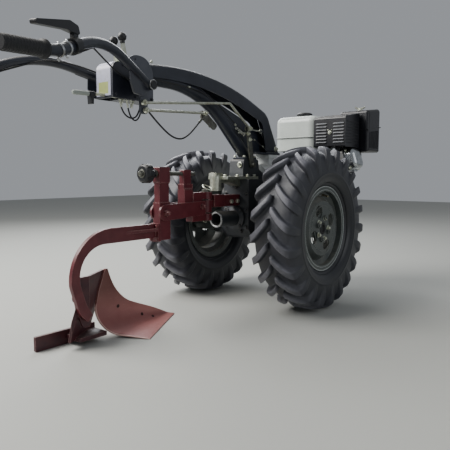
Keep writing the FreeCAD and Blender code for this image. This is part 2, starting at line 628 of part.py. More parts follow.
for side in (1, -1):
    plate_outer = side * (plate_inner + plate_thickness)
    plates.append(slab("xz", [(-561, -142), (-334, -132), (-334, -82), (-561, -88)], [26, 6, 6, 26],
                       side * plate_inner, plate_outer))
    plates.append(hex_head(V(tilt_x, plate_outer, tilt_z), V(0, side, 0), 12, 8))
    plates.append(hex_head(V(-352, plate_outer, -101), V(0, side, 0), 10, 7))
plates.append(rod(V(tilt_x, -plate_inner - 1, tilt_z), V(tilt_x, plate_inner + 1, tilt_z), tilt_pin_radius))
nodes["coupling_plates"] = joined(*plates)

# Plough post: a bar in welded sleeves, hinged between the side plates
post_rear, post_front, post_bottom, post_top = -551.0, -508.0, -206.0, 38.0
sleeve_wall = 3.0
post = joined(
    block((post_rear, -post_half_width, post_bottom), (post_front, post_half_width, post_top)),
    block((post_rear - sleeve_wall, -post_half_width - 2.5, -14),
          (post_front + sleeve_wall, post_half_width + 2.5, post_top), 4, "xz"),
    block((post_rear - sleeve_wall, -post_half_width - sleeve_wall, post_bottom),
          (post_front + sleeve_wall, post_half_width + sleeve_wall, -81)))
tilt_pin_room = rod(V(tilt_x, -30, tilt_z), V(tilt_x, 30, tilt_z), tilt_pin_radius + 0.2)
nodes["plough_post"] = post.cut(tilt_pin_room).cut(rod(*screw_line, screw_radius + 4.5))

# Adjusting screw through both posts, with its star knob behind
knob_rear, knob_depth, star_radius = -616.0, 50.0, 32.0
nodes["adjusting_screw"] = joined(
    rod(V(knob_rear + 4, 0, screw_z), V(-368, 0, screw_z), screw_radius),
    rod(V(post_rear - 13, 0, screw_z), V(post_rear - 5, 0, screw_z), 12))
knob_body = turned(V(knob_rear, 0, screw_z), ALONG_X, [
    (0, 0), (0, 24), (6, star_radius), (28, star_radius), (34, 20), (knob_depth, 15), (knob_depth, 0)],
    [0, 4, 6, 5, 3, 2, 0])
for point in around(V(knob_rear - 4, 0, screw_z), ALONG_X, star_radius + 5, 6, 0):
    knob_body = knob_body.cut(rod(point, point + ALONG_X * 42, 10))
nodes["screw_knob"] = knob_body.cut(rod(V(knob_rear + 3.7, 0, screw_z), V(-300, 0, screw_z),
                                        screw_radius + seat_gap))

# Plough beam: a flat bar that curves back and down, with its flange on the post's sleeve
beam_half, beam_front = 7.0, post_rear - sleeve_wall - 12
beam_top, beam_depth, knee = -150.0, 46.0, ground + 190
beam_bend = beam_top - knee - 12
beam_outline = [(beam_front, beam_top), (-897, beam_top), (-897, knee), (-870, ground + 105),
                (-843, ground + 78), (-826, ground + 98), (-846, ground + 128), (-868, knee + 5),
                (-868, beam_top - beam_depth), (beam_front, beam_top - beam_depth)]
beam = slab("xz", beam_outline, [0, beam_bend, 60, 50, 4, 4, 40, 60, beam_bend - 56, 0], -beam_half, beam_half)
beam_flange = block((beam_front, -20, beam_top - 60), (post_rear - sleeve_wall - seat_gap, 20, beam_top + 2),
                    6, "yz")
beam_rib = slab("xy", [(beam_front, -20), (beam_front, 20), (-690, beam_half), (-690, -beam_half)], 0,
                beam_top - 24, beam_top - 16)
nodes["plough_beam"] = joined(beam, beam_flange, beam_rib)

# Mouldboard and share: one sheet, flat at the share and rolled up towards the landside. Its sections
# stand across the rulings, which run from the wing to the share's point.
wing = V(-666, -84, ground)
ruling = FreeCAD.Rotation(ALONG_Z, 30).multVec(ALONG_X)
across = FreeCAD.Rotation(ALONG_Z, 90).multVec(ruling)
sheet, edge_thickness = 6.0, 2.5


def section_wire(along, points, radii):
    """A closed section of (across, height) points at a distance along the rulings."""
    place = wing + ruling * along
    return Part.Wire(rounded_path([place + across * s + ALONG_Z * z for s, z in points], radii, closed=True))


mouldboard_table = (
    # along, bend across, bend height, top across, top height, bend radius
    (-10, 194, 14, 158, 262, 90),
    (60, 158, 11, 143, 180, 78),
    (160, 102, 8, 90, 90, 46),
    (230, 62, 5, 50, 56, 28),
    (300, 24, 3, 14, 24, 10),
)
sections = []
for along, bend_s, bend_z, top_s, top_z, bend_radius in mouldboard_table:
    outline = [(0, 0.5), (bend_s, bend_z), (top_s, top_z), (top_s - sheet, top_z - 1),
               (bend_s - sheet - 1, bend_z + sheet), (0, 0.5 + edge_thickness)]
    sections.append(section_wire(along, outline, [0, bend_radius, 0, 0, bend_radius - sheet, 0]))
mouldboard = Part.makeLoft(sections, True, False)
trim = [(-30, -5), (400, -5), (400, 2), (300, 3), (279, 12), (248, 29), (206, 50), (157, 72), (115, 92),
        (79, 123), (54, 161), (38, 191), (28, 213), (17, 216), (-2, 150), (-10, 80)]
trim_radii = [0, 0, 0, 6, 0, 0, 400, 400, 120, 200, 200, 0, 5, 4, 60, 0]
trim_points = [wing + ruling * along + ALONG_Z * z - across * 50 for along, z in trim]
trim_wire = Part.Wire(rounded_path(trim_points, trim_radii, closed=True))
nodes["mouldboard"] = mouldboard.common(Part.Face(trim_wire).extrude(across * 400))

# Frog: the plate behind the mouldboard that ties it to the beam's end and to the landside
frog_rear, frog_front = -150.0, 22.0
frog_thickness, frog_top = 8.0, 212.0
frog_low, frog_low_s, frog_top_s = 24.0, 196.5, 158.5
frog_outline = [(frog_low_s, frog_low), (frog_top_s, frog_top), (frog_top_s + frog_thickness, frog_top),
                (frog_low_s + frog_thickness, frog_low)]
frog = Part.Face(section_wire(frog_rear, frog_outline, [0] * 4)).extrude(ruling * (frog_front - frog_rear))
frog_strap = slab("xz", [(-884, ground + frog_top), (-826, ground + frog_top), (-826, ground + 60),
                         (-850, ground + 60), (-870, ground + 110), (-884, ground + 180)], [6, 0, 0, 8, 20, 20],
                  beam_half + seat_gap, beam_half + seat_gap + frog_thickness)
landside_rear, landside_front, landside_inner = -965.0, -756.0, 78.0
landside_height, landside_thickness = 45.0, 10.0
nodes["landside"] = block((landside_rear, landside_inner, ground + 0.5),
                          (landside_front, landside_inner + landside_thickness, ground + landside_height), 3)
beam_side = block((-1000, -200, ground - 10), (-500, beam_half + seat_gap, 0))
landside_room = block((-1000, landside_inner - seat_gap, ground - 10), (-500, 400, 0))
frog_foot = block((-862, 8, ground + 18), (-762, landside_inner - seat_gap, ground + 30), 4, "xy")
nodes["plough_frog"] = joined(frog, frog_strap, frog_foot).cut(beam_side).cut(landside_room).cut(nodes["mouldboard"])

# Engine: crankcase on its flange, with rails for the tank
engine_front_case = 400.0
base_bottom = -106.0
tank_low, tank_seam, tank_high = 120.0, 177.0, 272.0
tank_right, tank_left = -137.0, 70.0
crankcase_side = -132.0
crankcase = slab("yz", [(crankcase_side, base_bottom), (58, base_bottom), (66, -60), (66, 60), (40, 100),
                        (-60, 100), (crankcase_side, 75)], [10, 10, 20, 30, 25, 25, 20],
                 engine_rear, engine_front_case)
tank_rails = [block((280, y, 95), (390, y + 14, tank_low - seat_gap)) for y in (-62, 20)]
nodes["engine_block"] = joined(crankcase, *tank_rails)

# Cylinder: a finned barrel that leans up to the right, with a domed rocker cover
cylinder_x, cylinder_y, cylinder_rise = 335.0, -40.0, 18.0
head_joint, fin_count, fin_pitch = -244.0, 9, 11.0


def on_cylinder(shape):
    """Turn a shape made along -Y from the crank's axis to the cylinder's slope."""
    shape.rotate(V(0, 0, 0), ALONG_X, -cylinder_rise)
    shape.translate(V(cylinder_x, cylinder_y, 0))
    return shape


barrel = [block((-50, head_joint + 26, -40), (50, -70, 40), 20)]
for i in range(fin_count):
    y = -118 - fin_pitch * i
    barrel.append(block((-62, y - 3.5, -46), (62, y, 46), 14))
barrel.append(block((-60, head_joint, -44), (60, head_joint + 27, 44), 12))
block_room = block((200, crankcase_side - seat_gap, -120), (450, 100, 200))
nodes["cylinder"] = on_cylinder(joined(*barrel)).cut(block_room)
rocker = block((-43, head_joint - 42, -46), (43, head_joint - seat_gap, 46), 30)
rocker = rocker.makeFillet(22, [edge for edge in rocker.Edges if edge.BoundBox.YMax < head_joint - 41])
rocker_flange = block((-50, head_joint - 6, -53), (50, head_joint - seat_gap, 53), 34)
nodes["rocker_cover"] = on_cylinder(joined(rocker, rocker_flange))

# Fan housing and recoil starter on the engine's front
fan_front, fan_y, fan_radius = 455.0, -30.0, 88.0
fan_axis = V(0, fan_y, 0)
fan_housing = slab("yz", [(-150, -90), (60, -100), (74, -60), (74, 70), (20, 112), (-90, 116), (-165, 90),
                          (-165, -30)], [24, 30, 30, 50, 40, 30, 30, 40],
                   engine_front_case + seat_gap, fan_front)
nodes["fan_housing"] = fan_housing.cut(rod(fan_axis + ALONG_X * engine_front_case,
                                           fan_axis + ALONG_X * (fan_front + 5), fan_radius))
recoil = turned(fan_axis + ALONG_X * fan_front, ALONG_X, [
    (seat_gap, 0), (seat_gap, fan_radius + 4), (20, fan_radius + 4), (34, 78), (34, 40), (38, 36), (38, 0)],
    [0, 0, 8, 4, 2, 2, 0])
for point in around(fan_axis + ALONG_X * (fan_front + 26), ALONG_X, 60, 12, 15):
    recoil = recoil.cut(rod(point, point + ALONG_X * 20, 6))
nodes["recoil_starter"] = recoil

# Fuel tank: two pressed shells with a seam, and its cap
tank_rear, tank_front, tank_wall = 262.0, 462.0, 3.0
tank = block((tank_rear, tank_right, tank_low), (tank_front, tank_left, tank_high), 34, "xy")
tank = tank.makeFillet(28, [edge for edge in tank.Edges if edge.BoundBox.ZMin > tank_high - 0.1])
tank_rim = block((tank_rear - 4, tank_right - 1.5, tank_seam - 2), (tank_front + 4, tank_left + 4, tank_seam + 2),
                 37, "xy")
tank_room = block((tank_rear + tank_wall, tank_right + tank_wall, tank_low + tank_wall),
                  (tank_front - tank_wall, tank_left - tank_wall, tank_high - tank_wall), 31, "xy")
tank_room = tank_room.makeFillet(26, [edge for edge in tank_room.Edges
                                      if edge.BoundBox.ZMin > tank_high - tank_wall - 0.1])
cap_seat = V(332, -46, tank_high + seat_gap)
filler = rod(cap_seat - ALONG_Z * 20, cap_seat, 20)
nodes["fuel_tank"] = joined(tank, tank_rim).cut(tank_room).cut(filler)
nodes["fuel_cap"] = turned(cap_seat, ALONG_Z, [(0, 0), (0, 26), (5, 33), (14, 33), (18, 27), (18, 0)],
                           [0, 0, 1, 3, 2, 0])

# Exhaust guard: a sheet box with two columns of louvres over the muffler
guard_rear, guard_front, guard_right, guard_left = 250.0, 386.0, -287.0, tank_right - 2.5
guard_low, guard_high, guard_rise, guard_wall = 130.0, 256.0, 22.0, 3.5
louvre_pitch, louvre_count, louvre_width, louvre_height = 13.0, 7, 52.0, 5.0
louvre_low = 146.0


def guard_box(inset, bottom):
    """The guard's outside, or its inside when it is inset by the wall."""
    outline = [(guard_rear + inset, bottom), (guard_front - inset, bottom),
               (guard_front - inset, guard_high + guard_rise - inset), (guard_rear + inset, guard_high - inset)]
    return slab("xz", outline, [6, 6, 10 - inset, 10 - inset], guard_right + inset, guard_left - inset)


guard = guard_box(0, guard_low).cut(guard_box(guard_wall, guard_low - 20))
for column in (guard_right + 5, guard_left - 11 - louvre_width):
    for row in range(louvre_count):
        z = louvre_low + louvre_pitch * row
        guard = guard.cut(block((guard_rear - 10, column, z),
                                (guard_rear + 12, column + louvre_width, z + louvre_height), 2, "yz"))
nodes["exhaust_guard"] = guard
muffler_low, muffler_high, muffler_wall = 134.0, 240.0, 4.0
muffler = block((guard_rear + 12, guard_right + 8, muffler_low), (guard_front - 12, guard_left - 12, muffler_high),
                24, "yz")
muffler_room = block((guard_rear + 12 + muffler_wall, guard_right + 8 + muffler_wall, muffler_low + muffler_wall),
                     (guard_front - 12 - muffler_wall, guard_left - 12 - muffler_wall,
                      muffler_high - muffler_wall), 20, "yz")
port_low = V(320, -222, 100)
port = rod(port_low, port_low + ALONG_Z * (muffler_low + 6 - port_low.z), 14)
port_flange = rod(port_low, port_low + ALONG_Z * 18, 20)
stud_x, stud_radius = 318.0, 7.0
guard_slope = guard_rise / (guard_front - guard_rear)
stud_top = guard_high - guard_wall + guard_slope * (stud_x - stud_radius - guard_rear) - seat_gap
guard_studs = [rod(V(stud_x, y, muffler_high - 8), V(stud_x, y, stud_top), stud_radius) for y in (-250, -190)]
muffler = joined(muffler.cut(muffler_room), port, port_flange, *guard_studs)
outlet = V(345, guard_right, 180)
muffler = muffler.cut(rod(outlet, outlet + ALONG_Y * 20, 12))
nodes["muffler"] = muffler.cut(nodes["cylinder"]).cut(nodes["rocker_cover"])

# Air cleaner over its elbow and the carburettor
cleaner_rear, cleaner_front, cleaner_right, cleaner_left = 393.0, 520.0, -325.0, -188.0
cleaner_low, cleaner_high, cleaner_rise = 112.0, 290.0, 16.0
cleaner = slab("xz", [(cleaner_rear, cleaner_low), (cleaner_front, cleaner_low),
                      (cleaner_front, cleaner_high + cleaner_rise), (cleaner_rear, cleaner_high)],
               [6, 6, 16, 12], cleaner_right, cleaner_left)
cleaner = cleaner.makeFillet(12, [edge for edge in cleaner.Edges if edge.BoundBox.ZLength > 100])
cleaner_seam = slab("xz", [(cleaner_rear - 2, 204), (cleaner_front + 2, 222), (cleaner_front + 2, 226),
                           (cleaner_rear - 2, 208)], 0, cleaner_right - 2, cleaner_left + 2)
nodes["air_cleaner"] = joined(cleaner, cleaner_seam)
inlet = block((392, -262, 45), (470, -205, cleaner_low - seat_gap), 10, "xz")
manifold = block((380, -250, 52), (400, -215, 90), 6, "yz")
nodes["carburettor"] = joined(inlet, manifold).cut(nodes["cylinder"])

# Engine bed: a channel under the crankcase with a lip that takes front weights
bed_low, bed_right, bed_left, bed_front, bed_wall = -128.0, -140.0, 74.0, 500.0, 8.0
bed = block((245, bed_right, bed_low), (bed_front, bed_left, base_bottom - seat_gap), 2, "yz")
bed = bed.cut(block((240, bed_right + bed_wall, bed_low - 12), (bed_front - 8, bed_left - bed_wall,
                                                              base_bottom - seat_gap - 9)))
lip = block((bed_front - 12, bed_right, bed_low - 32), (bed_front, bed_left, bed_low + 8), 6, "yz")
bed = joined(bed, lip)
for y in (-110, 44):
    for x in (285, 375):
        bed = bed.cut(rod(V(x, y, bed_low - 10), V(x, y, 0), bolt_radius - 0.5))
weight_hole_radius, weight_hole_spacing = 6.5, 140.0
for side in (1, -1):
    place = V(bed_front, (bed_right + bed_left) / 2 + side * weight_hole_spacing / 2, bed_low - 14)
    bed = bed.cut(rod(place - ALONG_X * 20, place + ALONG_X * 10, weight_hole_radius))
nodes["engine_bed"] = bed

low = min(shape.BoundBox.XMin for shape in nodes.values())
high = max(shape.BoundBox.XMax for shape in nodes.values())
for name, shape in nodes.items():
    shape.translate(V(-(low + high) / 2, 0, shaft_height))
    shape.exportStep(f"parts/{name}.step")
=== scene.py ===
"""How the walking tractor and its plough look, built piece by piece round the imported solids.

Places are in millimetres ahead of the axle, to the machine's left, and above the ground.
"""
import bmesh
import bpy
import math
from mathutils import Matrix, Vector


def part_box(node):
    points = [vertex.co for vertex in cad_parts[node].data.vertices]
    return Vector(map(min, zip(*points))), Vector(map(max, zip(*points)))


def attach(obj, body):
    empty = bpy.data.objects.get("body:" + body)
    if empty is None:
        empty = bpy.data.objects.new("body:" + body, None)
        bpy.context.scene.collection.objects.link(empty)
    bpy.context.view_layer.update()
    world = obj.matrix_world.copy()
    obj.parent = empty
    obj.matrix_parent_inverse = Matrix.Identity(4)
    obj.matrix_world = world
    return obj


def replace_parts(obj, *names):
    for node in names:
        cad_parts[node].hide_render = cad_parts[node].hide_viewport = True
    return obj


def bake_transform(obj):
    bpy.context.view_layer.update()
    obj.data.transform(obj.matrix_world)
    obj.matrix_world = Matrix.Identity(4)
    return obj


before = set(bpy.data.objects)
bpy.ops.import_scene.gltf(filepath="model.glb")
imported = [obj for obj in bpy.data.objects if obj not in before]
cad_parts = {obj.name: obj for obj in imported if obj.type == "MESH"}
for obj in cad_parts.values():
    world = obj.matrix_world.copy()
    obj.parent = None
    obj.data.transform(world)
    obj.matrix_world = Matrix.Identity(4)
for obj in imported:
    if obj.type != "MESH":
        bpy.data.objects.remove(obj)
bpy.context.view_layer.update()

# The camera stands behind the machine at hip height, where the photograph was taken.
# The pale floor and the large soft lights are the studio, which is not part of the machine.
axle_x = sum(corner.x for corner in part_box("hub_left")) / 2


def at(x, y, z):
    """A place in millimetres as a point in metres."""
    return Vector((axle_x + x / 1000, y / 1000, z / 1000))


focal_pixels, picture_pixels, sensor_mm = 521.35, 450, 36.0
camera_data = bpy.data.cameras.new("camera")
camera_data.sensor_width = sensor_mm
camera_data.lens = sensor_mm * focal_pixels / picture_pixels
camera_data.clip_start = 0.05
camera = bpy.data.objects.new("camera", camera_data)
bpy.context.collection.objects.link(camera)
camera.location = at(-1766.9, -1263.3, 510.3)
camera_yaw, camera_pitch = math.radians(38.67), math.radians(-5.44)
looking = Vector((math.cos(camera_yaw) * math.cos(camera_pitch),
                  math.sin(camera_yaw) * math.cos(camera_pitch), math.sin(camera_pitch)))
camera.rotation_euler = looking.to_track_quat("-Z", "Y").to_euler()
bpy.context.scene.camera = camera

soft_lights = (
    # name, place, aimed at, size in metres, watts, colour
    ("sky_behind_left", (-1900, 1500, 2700), (-100, 0, 400), 2.4, 235, (1.0, 0.98, 0.95)),
    ("sky_ahead_left", (1500, 2200, 2400), (200, 0, 400), 2.2, 95, (0.95, 0.97, 1.0)),
    ("fill_right", (-300, -3000, 1500), (0, 0, 400), 2.2, 16, (0.95, 0.97, 1.0)),
)
for name, place, target, size, watts, colour in soft_lights:
    lamp_data = bpy.data.lights.new(name, "AREA")
    lamp_data.size = size
    lamp_data.energy = watts
    lamp_data.color = colour
    lamp = bpy.data.objects.new(name, lamp_data)
    lamp.location = at(*place)
    lamp.rotation_euler = (at(*target) - at(*place)).to_track_quat("-Z", "Y").to_euler()
    bpy.context.collection.objects.link(lamp)


def linear(code):
    """An sRGB hex colour as linear RGBA."""
    parts = [int(code[i:i + 2], 16) / 255 for i in (1, 3, 5)]
    return [c / 12.92 if c <= 0.04045 else ((c + 0.055) / 1.055) ** 2.4 for c in parts] + [1.0]


def add(tree, kind, settings=None, inputs=None):
    """Adds a shader node with its settings; an input is set, or linked to a socket or a node's first live one."""
    node = tree.nodes.new(kind)
    for name, value in (settings or {}).items():
        setattr(node, name, value)
    for socket, value in (inputs or {}).items():
        if isinstance(value, bpy.types.Node):
            value = next(output for output in value.outputs if output.enabled)
        if isinstance(value, bpy.types.NodeSocket):
            tree.links.new(value, node.inputs[socket])
        else:
            node.inputs[socket].default_value = value
    return node


def new_material(name):
    """An empty node material, its tree, and the place on the piece that its patterns are drawn from."""
    material = bpy.data.materials.new(name)
    material.use_nodes = True
    tree = material.node_tree
    tree.nodes.clear()
    return material, tree, add(tree, "ShaderNodeTexCoord").outputs["Object"]


def finish_surface(tree, inputs, relief=None, relief_mm=0.1, edge_mm=0.0):
    """Ends a material in its shader: its relief is relief_mm deep, and its edges are edge_mm round."""
    if edge_mm:
        inputs = {**inputs, "Normal": add(tree, "ShaderNodeBevel", {"samples": 4}, {"Radius": edge_mm / 1000})}
    if relief is not None:
        normal = {"Normal": inputs["Normal"]} if "Normal" in inputs else {}
        bump = add(tree, "ShaderNodeBump", inputs={"Distance": relief_mm / 1000, "Height": relief, **normal})
        inputs = {**inputs, "Normal": bump}
    shader = add(tree, "ShaderNodeBsdfPrincipled", inputs=inputs)
    add(tree, "ShaderNodeOutputMaterial", inputs={"Surface": shader})


floor_paint, tree, place = new_material("studio_floor")
speckle = add(tree, "ShaderNodeTexNoise", inputs={"Vector": place, "Scale": 160.0})
finish_surface(tree, {"Base Color": linear("#a3a49f"), "Roughness": 0.9}, speckle, 0.05)
floor_mesh = bpy.data.meshes.new("studio_floor")
floor_mesh.from_pydata([(-9, -9, 0), (9, -9, 0), (9, 9, 0), (-9, 9, 0)], [], [(0, 1, 2, 3)])
floor = bpy.data.objects.new("studio_floor", floor_mesh)
floor_mesh.materials.append(floor_paint)
bpy.context.collection.objects.link(floor)

world = bpy.data.worlds.new("studio")
bpy.context.scene.world = world
world.use_nodes = True
world.node_tree.nodes.clear()
sky = add(world.node_tree, "ShaderNodeBackground", inputs={"Color": linear("#e8edf4"), "Strength": 0.38})
add(world.node_tree, "ShaderNodeOutputWorld", inputs={"Surface": sky})

# The tyres are natural rubber for field work: a hollow carcass with tall bars in a V, moulded in one.
# Walking on soil has greyed the tread, and the bars' tops are paler still, partly worn grey by scuffing and partly a
# painted highlight; the sidewalls stay blue-black and smooth.
wheel_radius, track_half, axle_height, bars_round = 310.0, 274.0, 310.0, 22
tread_rows = (
    # carcass: across, radius; bar's top: across, radius; lag behind the middle, half width, all in mm
    (3.0, 285.5, 3.0, 285.5, 0.0, 10.0),
    (4.5, 285.4, 4.5, 303.0, 0.0, 8.5),
    (7.5, 285.3, 7.0, 309.6, 2.5, 10.5),
    (16.0, 285.1, 16.0, 309.8, 13.0, 11.0),
    (26.0, 284.8, 26.0, 309.5, 24.0, 11.5),
    (36.0, 284.3, 36.0, 309.0, 35.0, 12.0),
    (46.0, 283.2, 46.5, 308.0, 45.0, 12.5),
    (56.0, 281.0, 57.5, 306.0, 54.0, 13.0),
    (65.0, 278.2, 67.5, 303.2, 61.5, 13.6),
    (72.0, 273.6, 75.5, 299.6, 66.5, 14.2),
    (76.0, 265.5, 81.0, 292.0, 70.0, 14.6),
    (78.0, 256.0, 83.6, 280.0, 73.0, 14.8),
    (79.6, 246.0, 85.0, 266.0, 76.0, 15.0),
    (80.9, 236.0, 84.8, 252.0, 78.0, 14.0),
    (81.7, 226.0, 83.6, 236.0, 79.0, 10.5),
    (82.2, 219.0, 82.2, 219.0, 79.5, 8.0),
)
sidewall_rows = (
    # across, radius, down the outside to the bead and back up inside
    (82.2, 213), (83.1, 211), (83.1, 209), (82.0, 207), (81.2, 200), (79.4, 192), (76.4, 184), (72.4, 177.5),
    (68.4, 173), (66.6, 172.2), (65.6, 173.4), (64.0, 173.2), (62.6, 170.4), (60.2, 166.6), (58.4, 164),
    (55.4, 162), (52.9, 161.4), (52.9, 146.2), (36, 146.2), (48, 168), (62, 196), (66, 222), (60, 250),
    (30, 264), (0, 266),
)
bar_steps = (
    # side of the bar: -1 behind, 1 ahead; mm beyond its top's half width; share of its height
    (-1, 11.0, 0.0), (-1, 6.2, 0.05), (-1, 4.0, 0.22), (-1, 1.0, 0.90), (-1, -0.8, 0.985), (-1, -3.2, 1.0),
    (1, -3.2, 1.0), (1, -0.8, 0.985), (1, 1.0, 0.90), (1, 4.0, 0.22), (1, 6.2, 0.05), (1, 11.0, 0.0),
)
middle_radius = 285.6


def tyre_mesh(side):
    """Points and faces of a tyre: rows run from the tread's middle down each sidewall and inside."""
    pitch = 2 * math.pi / bars_round
    columns_each = len(bar_steps) + 2
    count = bars_round * columns_each
    centre_y = side * track_half
    points = []
    for i in range(count):
        angle = (i - (len(bar_steps) - 1) / 2) / columns_each * pitch
        points.append((middle_radius * math.sin(angle), centre_y, axle_height + middle_radius * math.cos(angle)))
    faces, ends = [], []
    rows = [(row, None) for row in tread_rows] + [(tread_rows[-1], row) for row in sidewall_rows]
    for half, stagger in ((1, 0), (-1, 1)):
        shift = stagger * columns_each // 2
        last = [(i + shift) % count for i in range(count)]
        for (base_y, base_r, top_y, top_r, lag, half_width), wall in rows:
            start = len(points)
            offsets = [(sign * (half_width + beyond), share) for sign, beyond, share in bar_steps]
            gap = pitch * wheel_radius - 2 * (half_width + bar_steps[-1][1])
            offsets += [(offsets[-1][0] + gap / 3, 0.0), (offsets[-1][0] + 2 * gap / 3, 0.0)]
            for k in range(bars_round):
                middle = (k + stagger / 2) * pitch - lag / wheel_radius
                for offset, share in offsets:
                    angle = middle + offset / wheel_radius
                    y, radius = wall or (base_y + (top_y - base_y) * share, base_r + (top_r - base_r) * share)
                    points.append((radius * math.sin(angle), centre_y + half * y,
                                   axle_height + radius * math.cos(angle)))
            row_ids = list(range(start, start + count))
            faces += [(last[i - 1], last[i], row_ids[i], row_ids[i - 1]) for i in range(count)]
            last = row_ids
        ends.append([last[(i - shift) % count] for i in range(count)])
    faces += [(ends[0][i - 1], ends[0][i], ends[1][i], ends[1][i - 1]) for i in range(count)]
    return points, faces


def merged(*parts):
    """Several parts of (points, faces) as one."""
    points, faces = [], []
    for part_points, part_faces in parts:
        start = len(points)
        points += part_points
        faces += [tuple(start + i for i in face) for face in part_faces]
    return points, faces


def piece(name, body, slot_name, material, *parts, crease=32.0):
    """One piece from parts of (points, faces); it rides on a body, unless that is None."""
    points, faces = merged(*parts)
    mesh = bpy.data.meshes.new(name)
    mesh.from_pydata([at(*point) for point in points], [], faces)
    shape = bmesh.new()
    shape.from_mesh(mesh)
    bmesh.ops.remove_doubles(shape, verts=shape.verts, dist=1e-6)
    bmesh.ops.recalc_face_normals(shape, faces=shape.faces)
    shape.to_mesh(mesh)
    shape.free()
    mesh.shade_smooth()
    mesh.set_sharp_from_angle(angle=math.radians(crease))
    mesh.materials.append(material)
    made = bpy.data.objects.new(name, mesh)
    bpy.context.collection.objects.link(made)
    if body:
        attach(made, body)
    return made


tyre_rubber, tree, place = new_material("moulded_tyre_rubber")
from_axle = add(tree, "ShaderNodeVectorMath", {"operation": "SUBTRACT"}, {0: place, 1: at(0, 0, axle_height)})
in_plane = add(tree, "ShaderNodeVectorMath", {"operation": "MULTIPLY"}, {0: from_axle, 1: (1.0, 0.0, 1.0)})
out_from_axle = add(tree, "ShaderNodeVectorMath", {"operation": "LENGTH"}, {0: in_plane})
soil = add(tree, "ShaderNodeTexNoise", inputs={
    "Vector": place, "Scale": 1000 / 38, "Detail": 6.0, "Roughness": 0.65})
grain = add(tree, "ShaderNodeTexNoise", inputs={"Vector": place, "Scale": 1000 / 2.5, "Detail": 3.0})
on_tread = add(tree, "ShaderNodeMapRange", inputs={"Value": out_from_axle, "From Min": 0.205, "From Max": 0.280})
# The bars' tops are greyed paler: partly wear from scuffing, partly a painted highlight.
on_top = add(tree, "ShaderNodeMapRange", inputs={
    "Value": out_from_axle, "From Min": 0.293, "From Max": 0.309, "To Max": 0.75})
patchy = add(tree, "ShaderNodeMapRange", inputs={
    "Value": soil, "From Min": 0.3, "From Max": 0.7, "To Min": 0.35, "To Max": 1.0})
greyed = add(tree, "ShaderNodeMath", {"operation": "MULTIPLY"}, {0: on_tread, 1: patchy})
scuffed_and_highlit = add(tree, "ShaderNodeMath", {"operation": "MULTIPLY"}, {0: on_top, 1: patchy})
tread_colour = add(tree, "ShaderNodeMix", {"data_type": "RGBA"}, {
    0: greyed, 6: linear("#14171d"), 7: linear("#3a3b42")})
bar_colour = add(tree, "ShaderNodeMix", {"data_type": "RGBA"}, {0: scuffed_and_highlit, 6: tread_colour, 7: linear("#7a7a82")})
rubber_roughness = add(tree, "ShaderNodeMapRange", inputs={"Value": greyed, "To Min": 0.36, "To Max": 0.58})
finish_surface(tree, {"Base Color": bar_colour, "Roughness": rubber_roughness, "IOR": 1.52}, grain, 0.25)
for name, side in (("left", 1), ("right", -1)):
    tyre = piece(f"tyre_carcass_{name}", f"wheel_{name}", "tyre_rubber", tyre_rubber, tyre_mesh(side), crease=70.0)
    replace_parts(tyre, f"tyre_{name}")

# The rims are pressed steel in grey-green enamel, rolled and welded to a dished disc, and their lips are
# painted a paler grey as a highlight. The hubs are turned and painted the same, with zinc nuts and a dull brass valve;
# the axle's end is painted black as the shade inside the bore.


def settled_dust(tree, facing, lowest, most, patches):
    """How much dust lies on a surface: most on what faces up, in patches."""
    upward = add(tree, "ShaderNodeSeparateXYZ", inputs={"Vector": facing}).outputs["Z"]
    lying = add(tree, "ShaderNodeMapRange", inputs={
        "Value": upward, "From Min": lowest, "From Max": 0.95, "To Max": most})
    return add(tree, "ShaderNodeMath", {"operation": "MULTIPLY"}, {0: lying, 1: patches})


def enamelled(name, paint, faded, under, roughness, wear=0.6, dust=0.35, patch_mm=40.0, peel_mm=2.2,
              relief_mm=0.06):
    """Enamel on metal: faded in patches, rubbed through along its edges, with dust on what faces up."""
    material, tree, place = new_material(name)
    patches = add(tree, "ShaderNodeTexNoise", inputs={
        "Vector": place, "Scale": 1000 / patch_mm, "Detail": 5.0, "Roughness": 0.6})
    nicks = add(tree, "ShaderNodeTexNoise", inputs={
        "Vector": place, "Scale": 1000 / 5.0, "Detail": 4.0, "Roughness": 0.7})
    peel = add(tree, "ShaderNodeTexNoise", inputs={"Vector": place, "Scale": 1000 / peel_mm, "Detail": 2.0})
    fading = add(tree, "ShaderNodeMapRange", inputs={"Value": patches, "From Min": 0.35, "From Max": 0.68})
    body_colour = add(tree, "ShaderNodeMix", {"data_type": "RGBA"}, {0: fading, 6: linear(paint), 7: linear(faded)})
    rounded = add(tree, "ShaderNodeBevel", {"samples": 4}, {"Radius": 0.0016})
    facing = add(tree, "ShaderNodeNewGeometry").outputs["Normal"]
    flatness = add(tree, "ShaderNodeVectorMath", {"operation": "DOT_PRODUCT"}, {0: rounded, 1: facing})
    edge = add(tree, "ShaderNodeMapRange", inputs={
        "Value": flatness, "From Min": 0.985, "From Max": 0.90, "To Max": wear})
    nicked = add(tree, "ShaderNodeMapRange", inputs={"Value": nicks, "From Min": 0.38, "From Max": 0.58})
    rubbed = add(tree, "ShaderNodeMath", {"operation": "MULTIPLY"}, {0: edge, 1: nicked})
    worn_colour = add(tree, "ShaderNodeMix", {"data_type": "RGBA"}, {0: rubbed, 6: body_colour, 7: linear(under)})
    dusty = settled_dust(tree, facing, 0.35, dust, fading)
    seen_colour = add(tree, "ShaderNodeMix", {"data_type": "RGBA"}, {0: dusty, 6: worn_colour, 7: linear("#9a9488")})
    dulled = add(tree, "ShaderNodeMath", {"operation": "MAXIMUM"}, {0: rubbed, 1: dusty})
    gloss = add(tree, "ShaderNodeMapRange", inputs={"Value": dulled, "To Min": roughness, "To Max": 0.8})
    finish_surface(tree, {"Base Color": seen_colour, "Roughness": gloss, "Normal": rounded}, peel, relief_mm)
    return material


